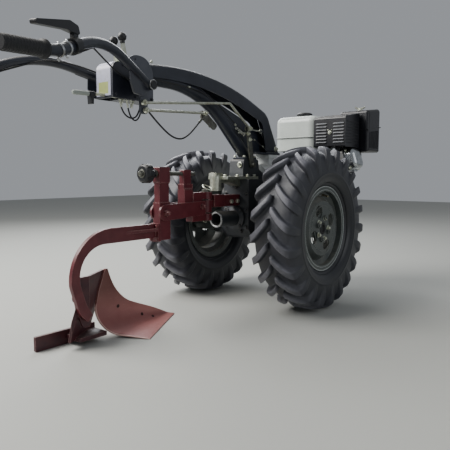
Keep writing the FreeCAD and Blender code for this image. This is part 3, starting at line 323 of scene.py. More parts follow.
def bare_metal(name, colour, stain, roughness, stain_mm=16.0, grain_mm=1.6, relief_mm=0.05, metallic=0.9):
    """Bare or plated metal: stained in patches, with the fine grain that its making left."""
    material, tree, place = new_material(name)
    stains = add(tree, "ShaderNodeTexNoise", inputs={
        "Vector": place, "Scale": 1000 / stain_mm, "Detail": 5.0, "Roughness": 0.62})
    grain = add(tree, "ShaderNodeTexNoise", inputs={"Vector": place, "Scale": 1000 / grain_mm, "Detail": 3.0})
    stained = add(tree, "ShaderNodeMapRange", inputs={"Value": stains, "From Min": 0.42, "From Max": 0.72})
    shade = add(tree, "ShaderNodeMix", {"data_type": "RGBA"}, {0: stained, 6: linear(colour), 7: linear(stain)})
    gloss = add(tree, "ShaderNodeMapRange", inputs={
        "Value": stains, "From Min": 0.3, "From Max": 0.7, "To Min": roughness - 0.08, "To Max": roughness + 0.12})
    finish_surface(tree, {"Base Color": shade, "Metallic": metallic, "Roughness": gloss}, grain, relief_mm, 0.8)
    return material


def dress(material, slot_name, *names):
    """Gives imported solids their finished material."""
    for name in names:
        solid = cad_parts[name]
        solid.data.materials.clear()
        solid.data.materials.append(material)


def turned(centre, axis, profile, count=24):
    """A turned part from (along, radius) pairs about an axis; a radius of 0 closes it."""
    centre, axis = Vector(centre), Vector(axis).normalized()
    side = axis.orthogonal().normalized()
    across = axis.cross(side)
    points, faces, last = [], [], None
    for along, radius in profile:
        start, ring_count = len(points), count if radius else 1
        for i in range(ring_count):
            angle = 2 * math.pi * i / count
            points.append(centre + axis * along + (side * math.cos(angle) + across * math.sin(angle)) * radius)
        ring = [start + i % ring_count for i in range(count)]
        if last:
            corners = [dict.fromkeys((last[i - 1], last[i], ring[i], ring[i - 1])) for i in range(count)]
            faces += [tuple(face) for face in corners if len(face) > 2]
        last = ring
    return points, faces


def lofted(rings):
    """A skin over rings with the same number of points, closed by the first and the last."""
    count = len(rings[0])
    points = [point for ring in rings for point in ring]
    faces = [tuple(range(count)), tuple(range(len(points) - count, len(points)))]
    for start in range(0, len(points) - count, count):
        faces += [(start + i, start + (i + 1) % count, start + count + (i + 1) % count, start + count + i)
                  for i in range(count)]
    return points, faces


def swept(path, radius, count=8):
    """A round bar along a path of points, with closed ends; radius may be a list, one for each point."""
    path = [Vector(point) for point in path]
    radii = radius if isinstance(radius, list) else [radius] * len(path)
    rings, side = [], None
    for i, (point, size) in enumerate(zip(path, radii)):
        ahead = (path[min(i + 1, len(path) - 1)] - path[max(i - 1, 0)]).normalized()
        side = (side - ahead * side.dot(ahead)).normalized() if side else ahead.orthogonal().normalized()
        across = ahead.cross(side)
        turns = [2 * math.pi * k / count for k in range(count)]
        rings.append([point + (side * math.cos(turn) + across * math.sin(turn)) * size for turn in turns])
    return lofted(rings)


def bolt(centre, axis, across=13.0, washer=True, end=0.0):
    """A hexagon head or nut on its washer; end is how far the thread stands out of it."""
    radius, height = across / math.sqrt(3), across * 0.62
    lift = 1.6 if washer else 0.0
    top = lift + height
    parts = [turned(centre, axis, [(lift - 0.4, 0), (lift - 0.4, radius * 0.96), (lift, radius),
                                   (lift + height * 0.8, radius), (top, radius * 0.86), (top, 0)], 6)]
    if washer:
        parts.append(turned(centre, axis, [(-0.3, 0), (-0.3, across * 0.84), (1.3, across * 0.84),
                                           (1.6, across * 0.8), (1.6, 0)]))
    if end:
        parts.append(turned(centre, axis, [(0, 0), (0, across * 0.3), (top + end - 1, across * 0.3),
                                           (top + end, across * 0.22), (top + end, 0)], 12))
    return merged(*parts)


def weld_bead(path, radius=2.6, ripple=3.2, closed=False):
    """A weld along straight runs between points, with the ripples that the torch leaves."""
    path = [Vector(point) for point in path]
    if closed:
        path.append(path[0])
    line, radii, gone = [], [radius * 0.6], 0.0
    for start, end in zip(path, path[1:]):
        steps = max(2, int((end - start).length / (ripple / 3)))
        for i in range(steps):
            line.append(start.lerp(end, i / steps))
            gone += (end - start).length / steps
            radii.append(radius * (0.92 + 0.14 * math.sin(2 * math.pi * gone / ripple)
                                   + 0.06 * math.sin(gone * 0.31)))
    return swept(line + [path[-1]], [radii[0]] + radii[2:] + [radii[0]], 6)


def ring_points(centre, axis, radius, count, start_degrees=0.0):
    """Points on a circle about an axis, counted from the top or the front."""
    centre, axis = Vector(centre), Vector(axis).normalized()
    first = Vector((0, 0, 1)) if abs(axis.z) < 0.9 else Vector((1, 0, 0))
    return [centre + Matrix.Rotation(math.radians(start_degrees + 360 * i / count), 3, axis) @ first * radius
            for i in range(count)]


rim_enamel = enamelled("grey_green_rim_enamel", "#3d4241", "#4c514e", "#a3a8a4", 0.42, wear=0.9, dust=0.5)
zinc_plate = bare_metal("passivated_zinc_plate", "#cfd2c4", "#9d9c86", 0.34)
valve_brass = bare_metal("turned_brass", "#8f8872", "#5e5847", 0.4)
# The lip's pale grey is a painted highlight on the rolled lip; its edges are rubbed paler still.
lip_highlight_enamel = enamelled("highlit_lip_enamel", "#8e9493", "#9ca19e", "#c3c7c2", 0.3, wear=0.8, dust=0.3)
# A black enamel painted on the axle's end as the shade inside the hub's bore.
bore_shade_enamel = enamelled("bore_shade_black_enamel", "#0d0e10", "#131416", "#3a3c3e", 0.5, wear=0.3, dust=0.3)
dress(rim_enamel, "rim_paint", "rim_left", "rim_right")
dress(rim_enamel, "hub_steel", "hub_left", "hub_right")
disc_face, hub_face, lip_face, disc_weld = 50.0, 45.7, 54.0, 25.5


def from_wheel(side, across):
    """A point on the axle's line, moved out from the middle of a wheel's tread."""
    return Vector((0, side * (track_half + across), axle_height))


for name, side in (("left", 1), ("right", -1)):
    wheel, out = f"wheel_{name}", (0, side, 0)
    piece(f"rim_lip_{name}", wheel, "rim_paint", lip_highlight_enamel, turned(from_wheel(side, lip_face), out, [
        (0, 156.0), (0, 160.4), (2.6, 161.2), (4.6, 160.6), (5.2, 158.6), (4.2, 157.2), (2.8, 155.6), (2.2, 151.0),
        (3.6, 148.6), (4.4, 146.6), (3.4, 144.6), (1.0, 144.0), (0, 147.0), (0, 156.0)], 96))
    piece(f"rim_weld_{name}", wheel, "rim_paint", rim_enamel,
          weld_bead(ring_points(from_wheel(side, disc_weld), out, 125.0, 60), 2.4, closed=True),
          turned(from_wheel(side, disc_face - 0.6), out, [(0, 84.0), (0, 88.0), (1.9, 87.0), (1.9, 85.0), (0, 84.0)], 64))
    piece(f"wheel_nuts_{name}", wheel, "zinc", zinc_plate,
          *[bolt(point, out, 12.0, end=2.0) for point in ring_points(from_wheel(side, disc_face), out, 40.0, 5, 52)])
    # The axle's end is painted black as the shade inside the bore.
    piece(f"axle_end_{name}", wheel, "hub_steel", bore_shade_enamel, turned(from_wheel(side, hub_face), out, [
        (-0.5, 0), (-0.5, 21), (4.4, 21), (4.8, 20), (4.8, 15), (1, 14), (1, 0)]))
    piece(f"valve_{name}", wheel, "zinc", valve_brass, turned(
        from_wheel(side, 26) + Vector((34, 0, 126)), (-0.08, side, -0.22), [
            (-4, 0), (-4, 6), (3, 6), (8, 3.6), (17, 3.4), (17, 2.7), (19, 2.7), (19, 3.9), (27, 3.9), (28, 3.2),
            (28, 0)], 16))

# The gearbox, final drives and clutch bell are iron castings in dark enamel: the sand's grain shows
# through the paint, oil has darkened it, and soil has dried on top. The screws were painted with it.
cast_enamel = enamelled("enamelled_iron_casting", "#26292e", "#33363a", "#6d6459", 0.5, dust=0.6, patch_mm=55.0,
                        peel_mm=3.0, relief_mm=0.35)
pale_enamel = enamelled("pale_enamelled_casting", "#d0d3d3", "#b8bbb8", "#6f6a60", 0.42, dust=0.5, patch_mm=35.0,
                        peel_mm=3.0, relief_mm=0.25)
dress(cast_enamel, "casting_grey", "gearbox", "axle_housing_left", "axle_housing_right")
dress(pale_enamel, "casting_pale", "clutch_housing")
case_rear, case_side, takeoff_height, crank_height = -117.7, 117.8, 342.0, 500.0
screws = [bolt((case_rear, y, z), (-1, 0, 0), 13.0) for y in (-51, 51) for z in (306, 372, 438)]
screws += [bolt(point, (-1, 0, 0), 10.0)
           for point in ring_points((-130, 0, takeoff_height), (1, 0, 0), 41.0, 4, 45)]
screws += [bolt(point, (-1, 0, 0), 11.0, washer=False)
           for point in ring_points((221.2, 0, crank_height), (1, 0, 0), 101.0, 8, 22.5)]
screws += [bolt((x, side * case_side, z), (0, side, 0), 13.0) for side in (1, -1)
           for x, z in ((-46, 285), (46, 285), (-50, 385), (46, 385), (-24, 468), (14, 466))]
piece("gearbox_screws", "chassis", "casting_grey", cast_enamel, *screws)
plugs = [turned((-20, 0, 262.2), (0, 0, -1), [(-0.3, 0), (-0.3, 14), (2, 14), (2, 10), (11, 10), (12, 9), (12, 0)], 6),
         turned((-case_side, 0, 470), (-1, 0, 0), [
             (-0.3, 0), (-0.3, 15), (3, 15), (3, 11), (12, 11), (13, 10), (13, 0)], 6),
         turned((-case_side, -26, 288), (-1, 0, 0), [
             (-0.3, 0), (-0.3, 9), (2, 9), (2, 7), (8, 7), (9, 6), (9, 0)], 6)]
piece("gearbox_plugs", "chassis", "casting_grey", cast_enamel, *plugs)
ribs = [swept([(-92, y, 261.6), (-20, y, 261.2), (50, y, 261.6)], 2.2) for y in (-30, 30)]
ribs += [swept([(x, side * 118, z), (x * 0.55, side * 117.5, axle_height + (z - axle_height) * 0.62)], [3.4, 4.4])
         for side in (1, -1) for x, z in ((-58, 300), (58, 300), (0, 254))]
piece("casting_ribs", "chassis", "casting_grey", cast_enamel, *ribs)

# The power take-off is a splined steel shaft, still oily, inside a tube that rings it; only the tube's
# turned end is bright.
dress(cast_enamel, "hub_steel", "pto_tube")
turned_steel = bare_metal("turned_steel", "#b9bcbf", "#6f675c", 0.3, grain_mm=1.0)
oiled_steel = bare_metal("oiled_spline_steel", "#6b6c6e", "#3a352e", 0.28)
piece("pto_lip", "chassis", "hub_steel", turned_steel, turned((-244, 0, takeoff_height), (-1, 0, 0), [
    (-2, 24.2), (0, 24.2), (0.5, 25.0), (0.5, 29.0), (-0.4, 30.2), (-4, 30.2), (-4, 29.5), (-2, 24.2)], 48))
spline_root, spline_tip = 10.4, 13.4
spline_ring = [(radius, math.radians(60 * i + offset)) for i in range(6)
               for offset, radius in ((-14, spline_root), (-9, spline_tip), (9, spline_tip), (14, spline_root))]
piece("pto_shaft", "chassis", "hub_steel", oiled_steel, lofted([
    [(x, scale * radius * math.cos(angle), takeoff_height + scale * radius * math.sin(angle))
     for radius, angle in spline_ring] for x, scale in ((-120, 1), (-205, 1), (-209, 0.8))]))

# The column is a pressed steel channel over a bent pipe, welded to a web and sprayed blue-black. It shines
# along its back, where the spray lies smooth. Screws fix the pipe's foot and the channel's end.
column_enamel = enamelled("blue_black_enamel", "#1f222b", "#292d37", "#7d7f86", 0.3, wear=0.5, dust=0.35,
                          patch_mm=70.0, peel_mm=3.0, relief_mm=0.03)
dress(column_enamel, "frame_paint", "column_cap", "column_pipe", "column_web", "engine_bed")
foot_top, cap_side, web_foot_top = 582.0, 30.8, 604.2
piece("column_fixings", "chassis", "zinc", zinc_plate,
      *[bolt((x, y, foot_top), (0, 0, 1), 10.0) for x in (-95, -25) for y in (-22.5, 22.5)],
      *[bolt((117, side * cap_side, 622), (0, side, 0), 13.0) for side in (1, -1)],
      bolt((-118.6, -18, 553), (-1, 0, 0), 13.0))
piece("column_welds", "chassis", "frame_paint", column_enamel,
      *[weld_bead([(-38, side * 4.5, web_foot_top), (34, side * 4.5, web_foot_top)]) for side in (1, -1)],
      *[weld_bead([(46 + 14 * i, side * 31.6, web_foot_top + 0.4) for i in range(8)], 2.4) for side in (1, -1)])

# The control head is two round-topped steel cheeks in grey enamel, and behind them a folded cover in smooth
# blue-black. Small screws hold both: the top pair are bright zinc, and the others were painted over.
head_enamel = enamelled("grey_head_enamel", "#41444c", "#4b4e57", "#84868c", 0.42, wear=0.5, dust=0.3,
                        patch_mm=50.0, peel_mm=3.0)
cover_enamel = enamelled("blue_black_cover_enamel", "#1c1e27", "#252832", "#7d7f86", 0.34, wear=0.5, dust=0.3)
dress(head_enamel, "head_paint", "control_head")
dress(cover_enamel, "cover_paint", "head_cover")
cheek_face, cover_face = 35.3, 38.6
piece("head_bolts", "chassis", "zinc", zinc_plate,
      *[bolt((-604, side * cheek_face, 864), (0, side, 0), 9.0, washer=False) for side in (1, -1)])
painted_screws = [bolt((-604, side * cheek_face, 748), (0, side, 0), 9.0, washer=False) for side in (1, -1)]
painted_screws += [bolt((x, side * cover_face, z), (0, side, 0), 7.0, washer=False)
                   for side in (1, -1) for x, z in ((-750, 748), (-672, 748), (-720, 836))]
painted_screws += [turned((-668, side * cheek_face, 862), (0, side, 0), [
    (-0.3, 0), (-0.3, 3.4), (0.5, 3.4), (1.4, 2), (1.4, 0)], 16) for side in (1, -1)]
piece("cover_screws", "chassis", "cover_paint", cover_enamel, *painted_screws)

# The label on the cover's back is printed foil, glued on and bent over its top: pale lavender with a
# yellow-green field and no words. It is smoother than the paint, and grime lies on it in small patches.
label_foil, tree, place = new_material("printed_label_foil")
grime = add(tree, "ShaderNodeTexNoise", inputs={"Vector": place, "Scale": 1000 / 12, "Detail": 5.0})
from_field = add(tree, "ShaderNodeVectorMath", {"operation": "SUBTRACT"}, {0: place, 1: at(0, 3, 768)})
axes = add(tree, "ShaderNodeSeparateXYZ", inputs={"Vector": from_field})
off_middle = add(tree, "ShaderNodeMath", {"operation": "ABSOLUTE"}, {0: axes.outputs["Y"]})
in_width = add(tree, "ShaderNodeMath", {"operation": "LESS_THAN"}, {0: off_middle, 1: 0.022})
off_height = add(tree, "ShaderNodeMath", {"operation": "ABSOLUTE"}, {0: axes.outputs["Z"]})
in_height = add(tree, "ShaderNodeMath", {"operation": "LESS_THAN"}, {0: off_height, 1: 0.017})
in_field = add(tree, "ShaderNodeMath", {"operation": "MULTIPLY"}, {0: in_width, 1: in_height})
printed = add(tree, "ShaderNodeMix", {"data_type": "RGBA"}, {
    0: in_field, 6: linear("#a9abbc"), 7: linear("#9aa262")})
soiled = add(tree, "ShaderNodeMapRange", inputs={"Value": grime, "From Min": 0.45, "From Max": 0.8, "To Max": 0.4})
label_colour = add(tree, "ShaderNodeMix", {"data_type": "RGBA"}, {0: soiled, 6: printed, 7: linear("#84806f")})
finish_surface(tree, {"Base Color": label_colour, "Roughness": 0.35, "IOR": 1.5}, grime, 0.05)


def label_line(radius):
    """Up the cover's back and over its top, at a radius from the middle of its bend."""
    turns = [math.radians(180 - 7 * i) for i in range(11)]
    return [(-736 - radius, 745)] + [
        (-736 + radius * math.cos(turn), 820 + radius * math.sin(turn)) for turn in turns]


piece("cover_label", "chassis", "cover_paint", label_foil, lofted([
    [(under_x, -30.0, under_z), (under_x, 35.0, under_z), (face_x, 34.5, face_z), (face_x, -29.5, face_z)]
    for (under_x, under_z), (face_x, face_z) in zip(label_line(24.4), label_line(25.1))]))


# The shift levers are zinc-plated straps with ball knobs of moulded nylon. The lock lever is a zinc bar that
# points back, with a black stop plate and a ribbed grey sleeve pushed on for a grip.
def moulded(name, colour, roughness, grain_mm=1.8, relief_mm=0.08, dust=0.3):
    """Moulded plastic or rubber: even colour, fine mould grain, and dust on what faces up."""
    material, tree, place = new_material(name)
    grain = add(tree, "ShaderNodeTexNoise", inputs={"Vector": place, "Scale": 1000 / grain_mm, "Detail": 3.0})
    patches = add(tree, "ShaderNodeTexNoise", inputs={"Vector": place, "Scale": 1000 / 24, "Detail": 5.0})
    facing = add(tree, "ShaderNodeNewGeometry").outputs["Normal"]
    dusty = settled_dust(tree, facing, 0.2, dust, patches)
    shade = add(tree, "ShaderNodeMix", {"data_type": "RGBA"}, {0: dusty, 6: linear(colour), 7: linear("#8d887c")})
    gloss = add(tree, "ShaderNodeMapRange", inputs={"Value": dusty, "To Min": roughness, "To Max": 0.85})
    finish_surface(tree, {"Base Color": shade, "Roughness": gloss, "IOR": 1.5}, grain, relief_mm, 0.8)
    return material


black_plastic = moulded("moulded_black_nylon", "#15161a", 0.4)
grey_plastic = moulded("moulded_grey_nylon", "#8f9690", 0.5)
black_rubber = moulded("moulded_black_rubber", "#16171b", 0.62, relief_mm=0.15)
dress(zinc_plate, "zinc", "shift_levers")
dress(black_plastic, "black_plastic", "shift_knobs")
piece("knob_ferrules", "chassis", "black_plastic", black_plastic, *[
    turned(knob_foot, (-0.1, 0, 1), [(-9, 0), (-9, 7.5), (-1, 7.5), (1, 6.5), (1, 0)], 16)
    for knob_foot in ((-711.6, 12, 905), (-698.6, -12, 916))])
lock_bar = piece("lock_bar", "chassis", "zinc", zinc_plate, swept(
    [(-706, 0, 748), (-764, 0, 748), (-790, 0, 746.5), (-822, 0, 745)], [5.0, 5.0, 4.2, 4.2], 12))
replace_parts(lock_bar, "lock_lever")
lock_way, sleeve_ribs, rib_pitch = (-1, 0, -0.034), 11, 4.4
sleeve = [(0, 0), (0, 5.6), (2, 6.6)]
sleeve += [(4 + rib_pitch * i + along, radius) for i in range(sleeve_ribs)
           for along, radius in ((0, 6.2), (1.0, 6.8), (3.2, 6.8), (4.2, 6.2))]
sleeve += [(53.6, 6.0), (55.5, 4.4), (55.5, 0)]
piece("lock_grip", "chassis", "zinc", grey_plastic, turned((-816.5, 0, 745), lock_way, sleeve))
stop_outline = ((-806, 716), (-814, 716), (-816, 750), (-804, 751))
piece("lock_stop", "chassis", "black_plastic", black_plastic,
      lofted([[(x, y, z) for x, z in stop_outline] for y in (-9.0, 9.0)]),
      turned((-797, 0, 746), lock_way, [(0, 0), (0, 7.4), (20, 7.4), (21, 6.6), (21, 0)], 20))

# The shift rods are zinc-plated round bar with flattened eyes on clevis pins, held by washers and split
# pins. The selector lever, the cable crank and its link are plated too, and soil has stained them grey.
worn_zinc = bare_metal("soiled_zinc_plate", "#6f7069", "#45423b", 0.42, metallic=0.8)
dress(zinc_plate, "zinc", "shift_rods")
dress(worn_zinc, "zinc", "selector_lever", "cable_crank")
pins, rod_face = [], -55.2
for x, z in ((-648, 733), (-640, 711), (-96, 692), (-362, 727)):
    pins.append(turned((x, rod_face, z), (0, -1, 0), [
        (0, 0), (0, 7.2), (1.2, 7.2), (1.2, 4.2), (6.5, 4.2), (7.2, 3.4), (7.2, 0)], 20))
    pins.append(swept([(x + ahead, rod_face - out, z + up) for ahead, out, up in (
        (-6, 3.2, -2), (0, 3.4, 0), (6, 3.2, 1), (9, 3.2, 4))], 0.9, 6))
pins += [bolt((x, -43.2, z), (0, -1, 0), 10.0, end=4.0) for x, z in ((-98, 672), (-86, 650))]
pins.append(turned((-150, -36, 674), (1, -0.04, 0), [(0, 0), (0, 3.2), (70, 3.2), (70, 0)], 12))
piece("clevis_pins", "chassis", "zinc", zinc_plate, *pins)

# A pull spring of drawn wire, bare and bright, runs from a lug on the channel to the selector lever. It is
# wound close and hooked at both ends.
spring_steel = bare_metal("drawn_spring_wire", "#b3b5b0", "#77746a", 0.32, metallic=0.95)


def coil_spring(start, end, radius, wire, turns, leg=5.0, steps=12):
    """A close-wound pull spring between two points, with a straight leg at each end."""
    start, end = Vector(start), Vector(end)
    way = (end - start).normalized()
    side = way.orthogonal().normalized()
    across = way.cross(side)
    coiled = (end - start).length - 2 * leg
    line = [start]
    for i in range(turns * steps + 1):
        angle = 2 * math.pi * i / steps
        line.append(start + way * (leg + coiled * i / (turns * steps))
                    + (side * math.cos(angle) + across * math.sin(angle)) * radius)
    return swept(line + [end], wire, 5)


piece("selector_spring", "chassis", "zinc", spring_steel,
      coil_spring((-160, -37, 689), (-113, -39.5, 664), 4.2, 0.9, 16),
      turned((-160, -30.6, 690), (0, -1, 0), [
          (0, 0), (0, 6), (2, 6), (2, 3.4), (9, 3.4), (9.6, 2.6), (9.6, 0)], 16))


# The cables are steel wire in a black plastic sheath, 4 to 6 mm thick and a little dull. Zinc adjusters
# screw into the head's floor, and two short cables loop back up into crimped sockets there.
def smooth_curve(name, points):
    """A curve along control points, which starts at the first and ends at the last."""
    curve = bpy.data.curves.new(name, "CURVE")
    curve.dimensions = "3D"
    curve.resolution_u = 8
    spline = curve.splines.new("NURBS")
    spline.points.add(len(points) - 1)
    for control, point in zip(spline.points, points):
        control.co = (*point, 1.0)
    spline.order_u = 3
    spline.use_endpoint_u = True
    return bpy.data.objects.new(name, curve)


def cable(name, route, diameter):
    """A cable along its route's control points, riding on the chassis."""
    made = smooth_curve(name, [at(*point) for point in route])
    made.data.bevel_depth = diameter / 2000
    made.data.bevel_resolution = 4
    made.data.use_fill_caps = True
    made.data.materials.append(black_rubber)
    bpy.context.collection.objects.link(made)
    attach(made, "chassis")
    return made


crank_route = ((-616, -17, 726), (-592, -19, 704), (-562, -21.5, 678), (-527, -25, 651), (-497, -28.5, 635),
               (-463, -32, 632), (-432, -35, 648), (-405, -37, 671), (-380, -38.2, 695))
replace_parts(cable("shift_cable_sheath", crank_route, 6.0), "shift_cable")
head_floor = 738.3
adjuster = [(0, 0), (0, 4.6), (3, 4.6), (3, 3.0), (7, 3.0), (7, 4.2), (10, 4.2), (10, 2.8), (18, 2.6), (24, 2.6),
            (24, 0)]
piece("cable_adjusters", "chassis", "zinc", zinc_plate, *[
    turned((x, y, head_floor), (lean, 0, -1), adjuster, 12) for x, y, lean in (
        (-726, -27, 0.25), (-713, -27, -0.35), (-697, -24, 0.3), (-684, -27, 0.1), (-668, -22, -0.3))])
looped_cables = (
    # name, control points, length in metres
    ("clutch_cable", ((-720, -27, 715), (-715, -27, 702), (-700, -28, 688), (-680, -28.5, 683), (-662, -28, 690),
                      (-650, -26, 706), (-640, -22, 722), (-634, -18, 737.5)), 0.129),
    ("stop_cable", ((-691, -24, 715), (-687, -24, 700), (-676, -23, 684), (-658, -20, 678), (-642, -16, 688),
                    (-630, -13, 706), (-624, -12, 737.5)), 0.124),
)
for name, route, length in looped_cables:
    cable(name, route, 5.0)
piece("cable_sockets", "chassis", "zinc", zinc_plate, *[
    turned((x, y, head_floor), (0, 0, -1), [
        (-0.3, 0), (-0.3, 6), (4, 6), (4, 4.4), (10, 4.2), (11, 3.4), (11, 0)], 12)
    for x, y in ((-634, -18), (-624, -12))])

# The throttle cable lies along the pipe, from the head down to the clutch housing. Bent zinc clips hold it.
throttle_route = ((-600, -25, 815), (-420, -27, 812), (-320, -28, 797), (-240, -29, 756), (-164, -30, 704),
                  (-100, -30, 676), (-40, -31, 652), (18, -32, 628), (52, -33, 606))
cable("throttle_cable", throttle_route, 4.4)
clips = []
for i, slope in ((1, 0.0), (4, -0.6), (5, -0.4), (6, -0.4), (7, -0.5)):
    way = Vector((math.cos(slope), 0, math.sin(slope)))
    clips.append(turned(Vector(throttle_route[i]) - way * 5, way, [(0, 0), (0, 3.6), (10, 3.6), (10, 0)], 12))
piece("cable_clips", "chassis", "zinc", zinc_plate, *clips)

# The handlebars are bent steel tubes in the column's enamel, on a turned cross shaft with bright rings and
# black caps. Ribbed rubber grips are pushed on; the hand levers are moulded nylon on bright steel bands.
dress(column_enamel, "frame_paint", "handlebar_left", "handlebar_right")
dress(turned_steel, "zinc", "handlebar_shaft")
dress(black_plastic, "black_plastic", "hand_lever_left", "hand_lever_right")
shaft_x, shaft_height = -634, 786
bar_corners = (
    # ahead, out to the side, up; the radius that the tube is bent to there
    (shaft_x, 57, shaft_height, 0.0),
    (-879, 151, 864, 300.0),
    (-1072, 227, 785, 250.0),
    (-1225, 268, 770, 0.0),
)


def bar_line(side):
    """Points along a handlebar's middle line, with its two bends rounded."""
    corners = [Vector((x, side * y, z)) for x, y, z, _ in bar_corners]
    line = [corners[0]]
    for i in (1, 2):
        radius = bar_corners[i][3]
        before = (corners[i - 1] - corners[i]).normalized()
        after = (corners[i + 1] - corners[i]).normalized()
        half = before.angle(after) / 2
        reach = radius / math.tan(half)
        centre = corners[i] + (before + after).normalized() * (radius / math.sin(half))
        first, last = corners[i] + before * reach - centre, corners[i] + after * reach - centre
        line += [centre + first.lerp(last, k / 12).normalized() * radius for k in range(13)]
    return line + [corners[3]]


grip_ribs, rib_pitch = 12, 8.6
grip_profile = [(-4.0, 0), (-4.0, 15.8), (-3.0, 16.8), (0, 17.0)]
grip_profile += [(rib_pitch * i + along, radius) for i in range(grip_ribs)
                 for along, radius in ((4, 16.2), (6, 17.6), (10, 17.6), (12, 16.2))]
grip_profile += [(112, 16.6), (116, 21.5), (120, 22.0), (123, 20.5), (125, 15.5), (125, 0)]
for name, side in (("left", 1), ("right", -1)):
    line = bar_line(side)
    grip = piece(f"grip_rubber_{name}", "handlebars", "black_rubber", black_rubber,
                 turned(line[-1], (line[-2] - line[-1]).normalized(), grip_profile, 36))
    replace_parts(grip, f"grip_{name}")
    second, third = [Vector((x, side * y, z)) for x, y, z, _ in bar_corners[1:3]]
    back = (third - second).normalized()
    bands = []
    for along in (178, 212):
        middle = second + back * along
        bands.append(turned(middle - back * 6, back, [
            (2, 13.0), (2, 15.0), (3, 15.6), (8, 15.6), (9, 15.0), (9, 13.0), (2, 13.0)], 32))
        bands.append(bolt(middle + Vector((0, 0, 15.8)), (0, 0, 1), 6.0, washer=False))
        bands.append(bolt(middle + Vector((0, 0, -15.6)), (0, 0, -1), 8.0, washer=False, end=3.0))
    piece(f"band_clamps_{name}", "handlebars", "zinc", turned_steel, *bands)
    piece(f"pivot_ring_{name}", "handlebars", "zinc", turned_steel,
          turned((shaft_x, side * 77.0, shaft_height), (0, side, 0), [
              (-4, 13.0), (-4, 15.4), (0.6, 15.8), (1.4, 15.0), (1.4, 13.2), (-0.2, 12.6), (-4, 13.0)], 36))
    piece(f"pivot_cap_{name}", "handlebars", "black_plastic", black_plastic,
          turned((shaft_x, side * 80.2, shaft_height), (0, side, 0), [
              (-3, 0), (-3, 12.4), (0.9, 12.2), (1.2, 10.5), (0.5, 6), (0.5, 0)], 32))
    piece(f"gusset_weld_{name}", "handlebars", "frame_paint", column_enamel,
          weld_bead([line[0].lerp(line[1], share) + Vector((0, 0, -13.6)) for share in (0.12, 0.95)], 2.2))

# Each hand lever pulls a sheathed cable that leaves its clamp, runs under the tube, and goes free into the
# head's cheek.
lever_cables = (
    # name, side, control points from where it leaves the tube to the head
    ("right", -1, [(-905, -138, 838), (-880, -118, 838), (-840, -92, 832), (-800, -68, 824), (-760, -50, 813),
                   (-722, -43, 802), (-690, -40, 792), (-668, -35.6, 788)]),
    ("left", 1, [(-890, 140, 842), (-860, 124, 848), (-820, 103, 845), (-780, 82, 836), (-745, 62, 824),
                 (-715, 48, 812), (-690, 40, 803), (-668, 35.6, 800)]),
)
for name, side, free_run in lever_cables:
    under_tube = [(-1008, side * 202, 793), (-980, side * 190, 806), (-945, side * 170, 820)]
    holder = smooth_curve(f"lever_cable_line_{name}", under_tube + free_run)
    curve, line_mesh = holder.data, bpy.data.meshes.new_from_object(holder)
    line = [vertex.co.copy() for vertex in line_mesh.vertices]
    bpy.data.objects.remove(holder)
    bpy.data.curves.remove(curve)
    bpy.data.meshes.remove(line_mesh)
    length = sum((after - before).length for before, after in zip(line, line[1:])) / 1000
    made = piece(f"lever_cable_{name}", None, "black_rubber", black_rubber, swept(line, 2.5))
    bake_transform(made)

# The hitch bracket is plated steel, bolted to the gearbox. The king pin and the adjusting screw are plated
# too, but soil has stained them grey. The pin has a bright pull ring above and a wire clip below.
dress(zinc_plate, "zinc", "hitch_bracket")
dress(worn_zinc, "zinc", "king_pin", "adjusting_screw")
pin_x, screw_height, bracket_top = -302, 516, 506
piece("bracket_screws", "chassis", "zinc", zinc_plate, *[
    bolt((x, side * out, bracket_top), (0, 0, 1), 11.0)
    for x, out in ((-52, 41), (-98, 41), (-150, 30)) for side in (1, -1)])
ring_turns = [2 * math.pi * i / 28 for i in range(29)]
piece("king_pin_ring", "coupling", "zinc", zinc_plate, swept([
    (pin_x + 17 * math.cos(turn), 17 * math.sin(turn) - 6, 466 + 9 * math.sin(turn)) for turn in ring_turns], 2.0))
clip_turns = [math.pi * (0.2 + 1.5 * i / 14) for i in range(15)]
clip_line = [(pin_x + 14 * math.cos(turn), 0, 342 + 5 * math.sin(turn)) for turn in clip_turns]
piece("king_pin_clip", "coupling", "zinc", zinc_plate, swept(clip_line + [(-276, 0, 341)], 1.6, 6))
thread_turns, thread_steps, thread_pitch, thread_radius = 40, 12, 2.32, 6.7
thread_line = []
for i in range(thread_turns * thread_steps):
    angle = 2 * math.pi * i / thread_steps
    thread_line.append((-548 + thread_pitch * i / thread_steps, thread_radius * math.cos(angle),
                        screw_height + thread_radius * math.sin(angle)))
piece("screw_thread", "screw", "zinc", worn_zinc, swept(thread_line, 0.8, 5))

# The coupling and the plough's beam are flame-cut plate and bar, welded and brushed with glossy maroon
# enamel. Its edges are rubbed pale and the weld beads stand out. The frog below is painted a darker maroon as shade.
maroon = enamelled("brushed_maroon_enamel", "#511b22", "#5f262c", "#b98a84", 0.34, wear=0.95, dust=0.3,
                   patch_mm=30.0, peel_mm=5.0, relief_mm=0.15)
dress(maroon, "plough_paint", "hitch_tongue", "coupling_fork", "coupling_plates", "plough_post", "plough_beam")
# A darker copy of the maroon enamel, painted as shade on the frog and the landside.
shade_dark_maroon = enamelled("shade_darkened_maroon_enamel", "#32101a", "#43191f", "#c49a92", 0.45, wear=0.95, dust=0.3,
                          patch_mm=24.0, peel_mm=5.0, relief_mm=0.15)
dress(shade_dark_maroon, "plough_paint", "plough_frog")
dress(black_plastic, "black_plastic", "screw_knob")

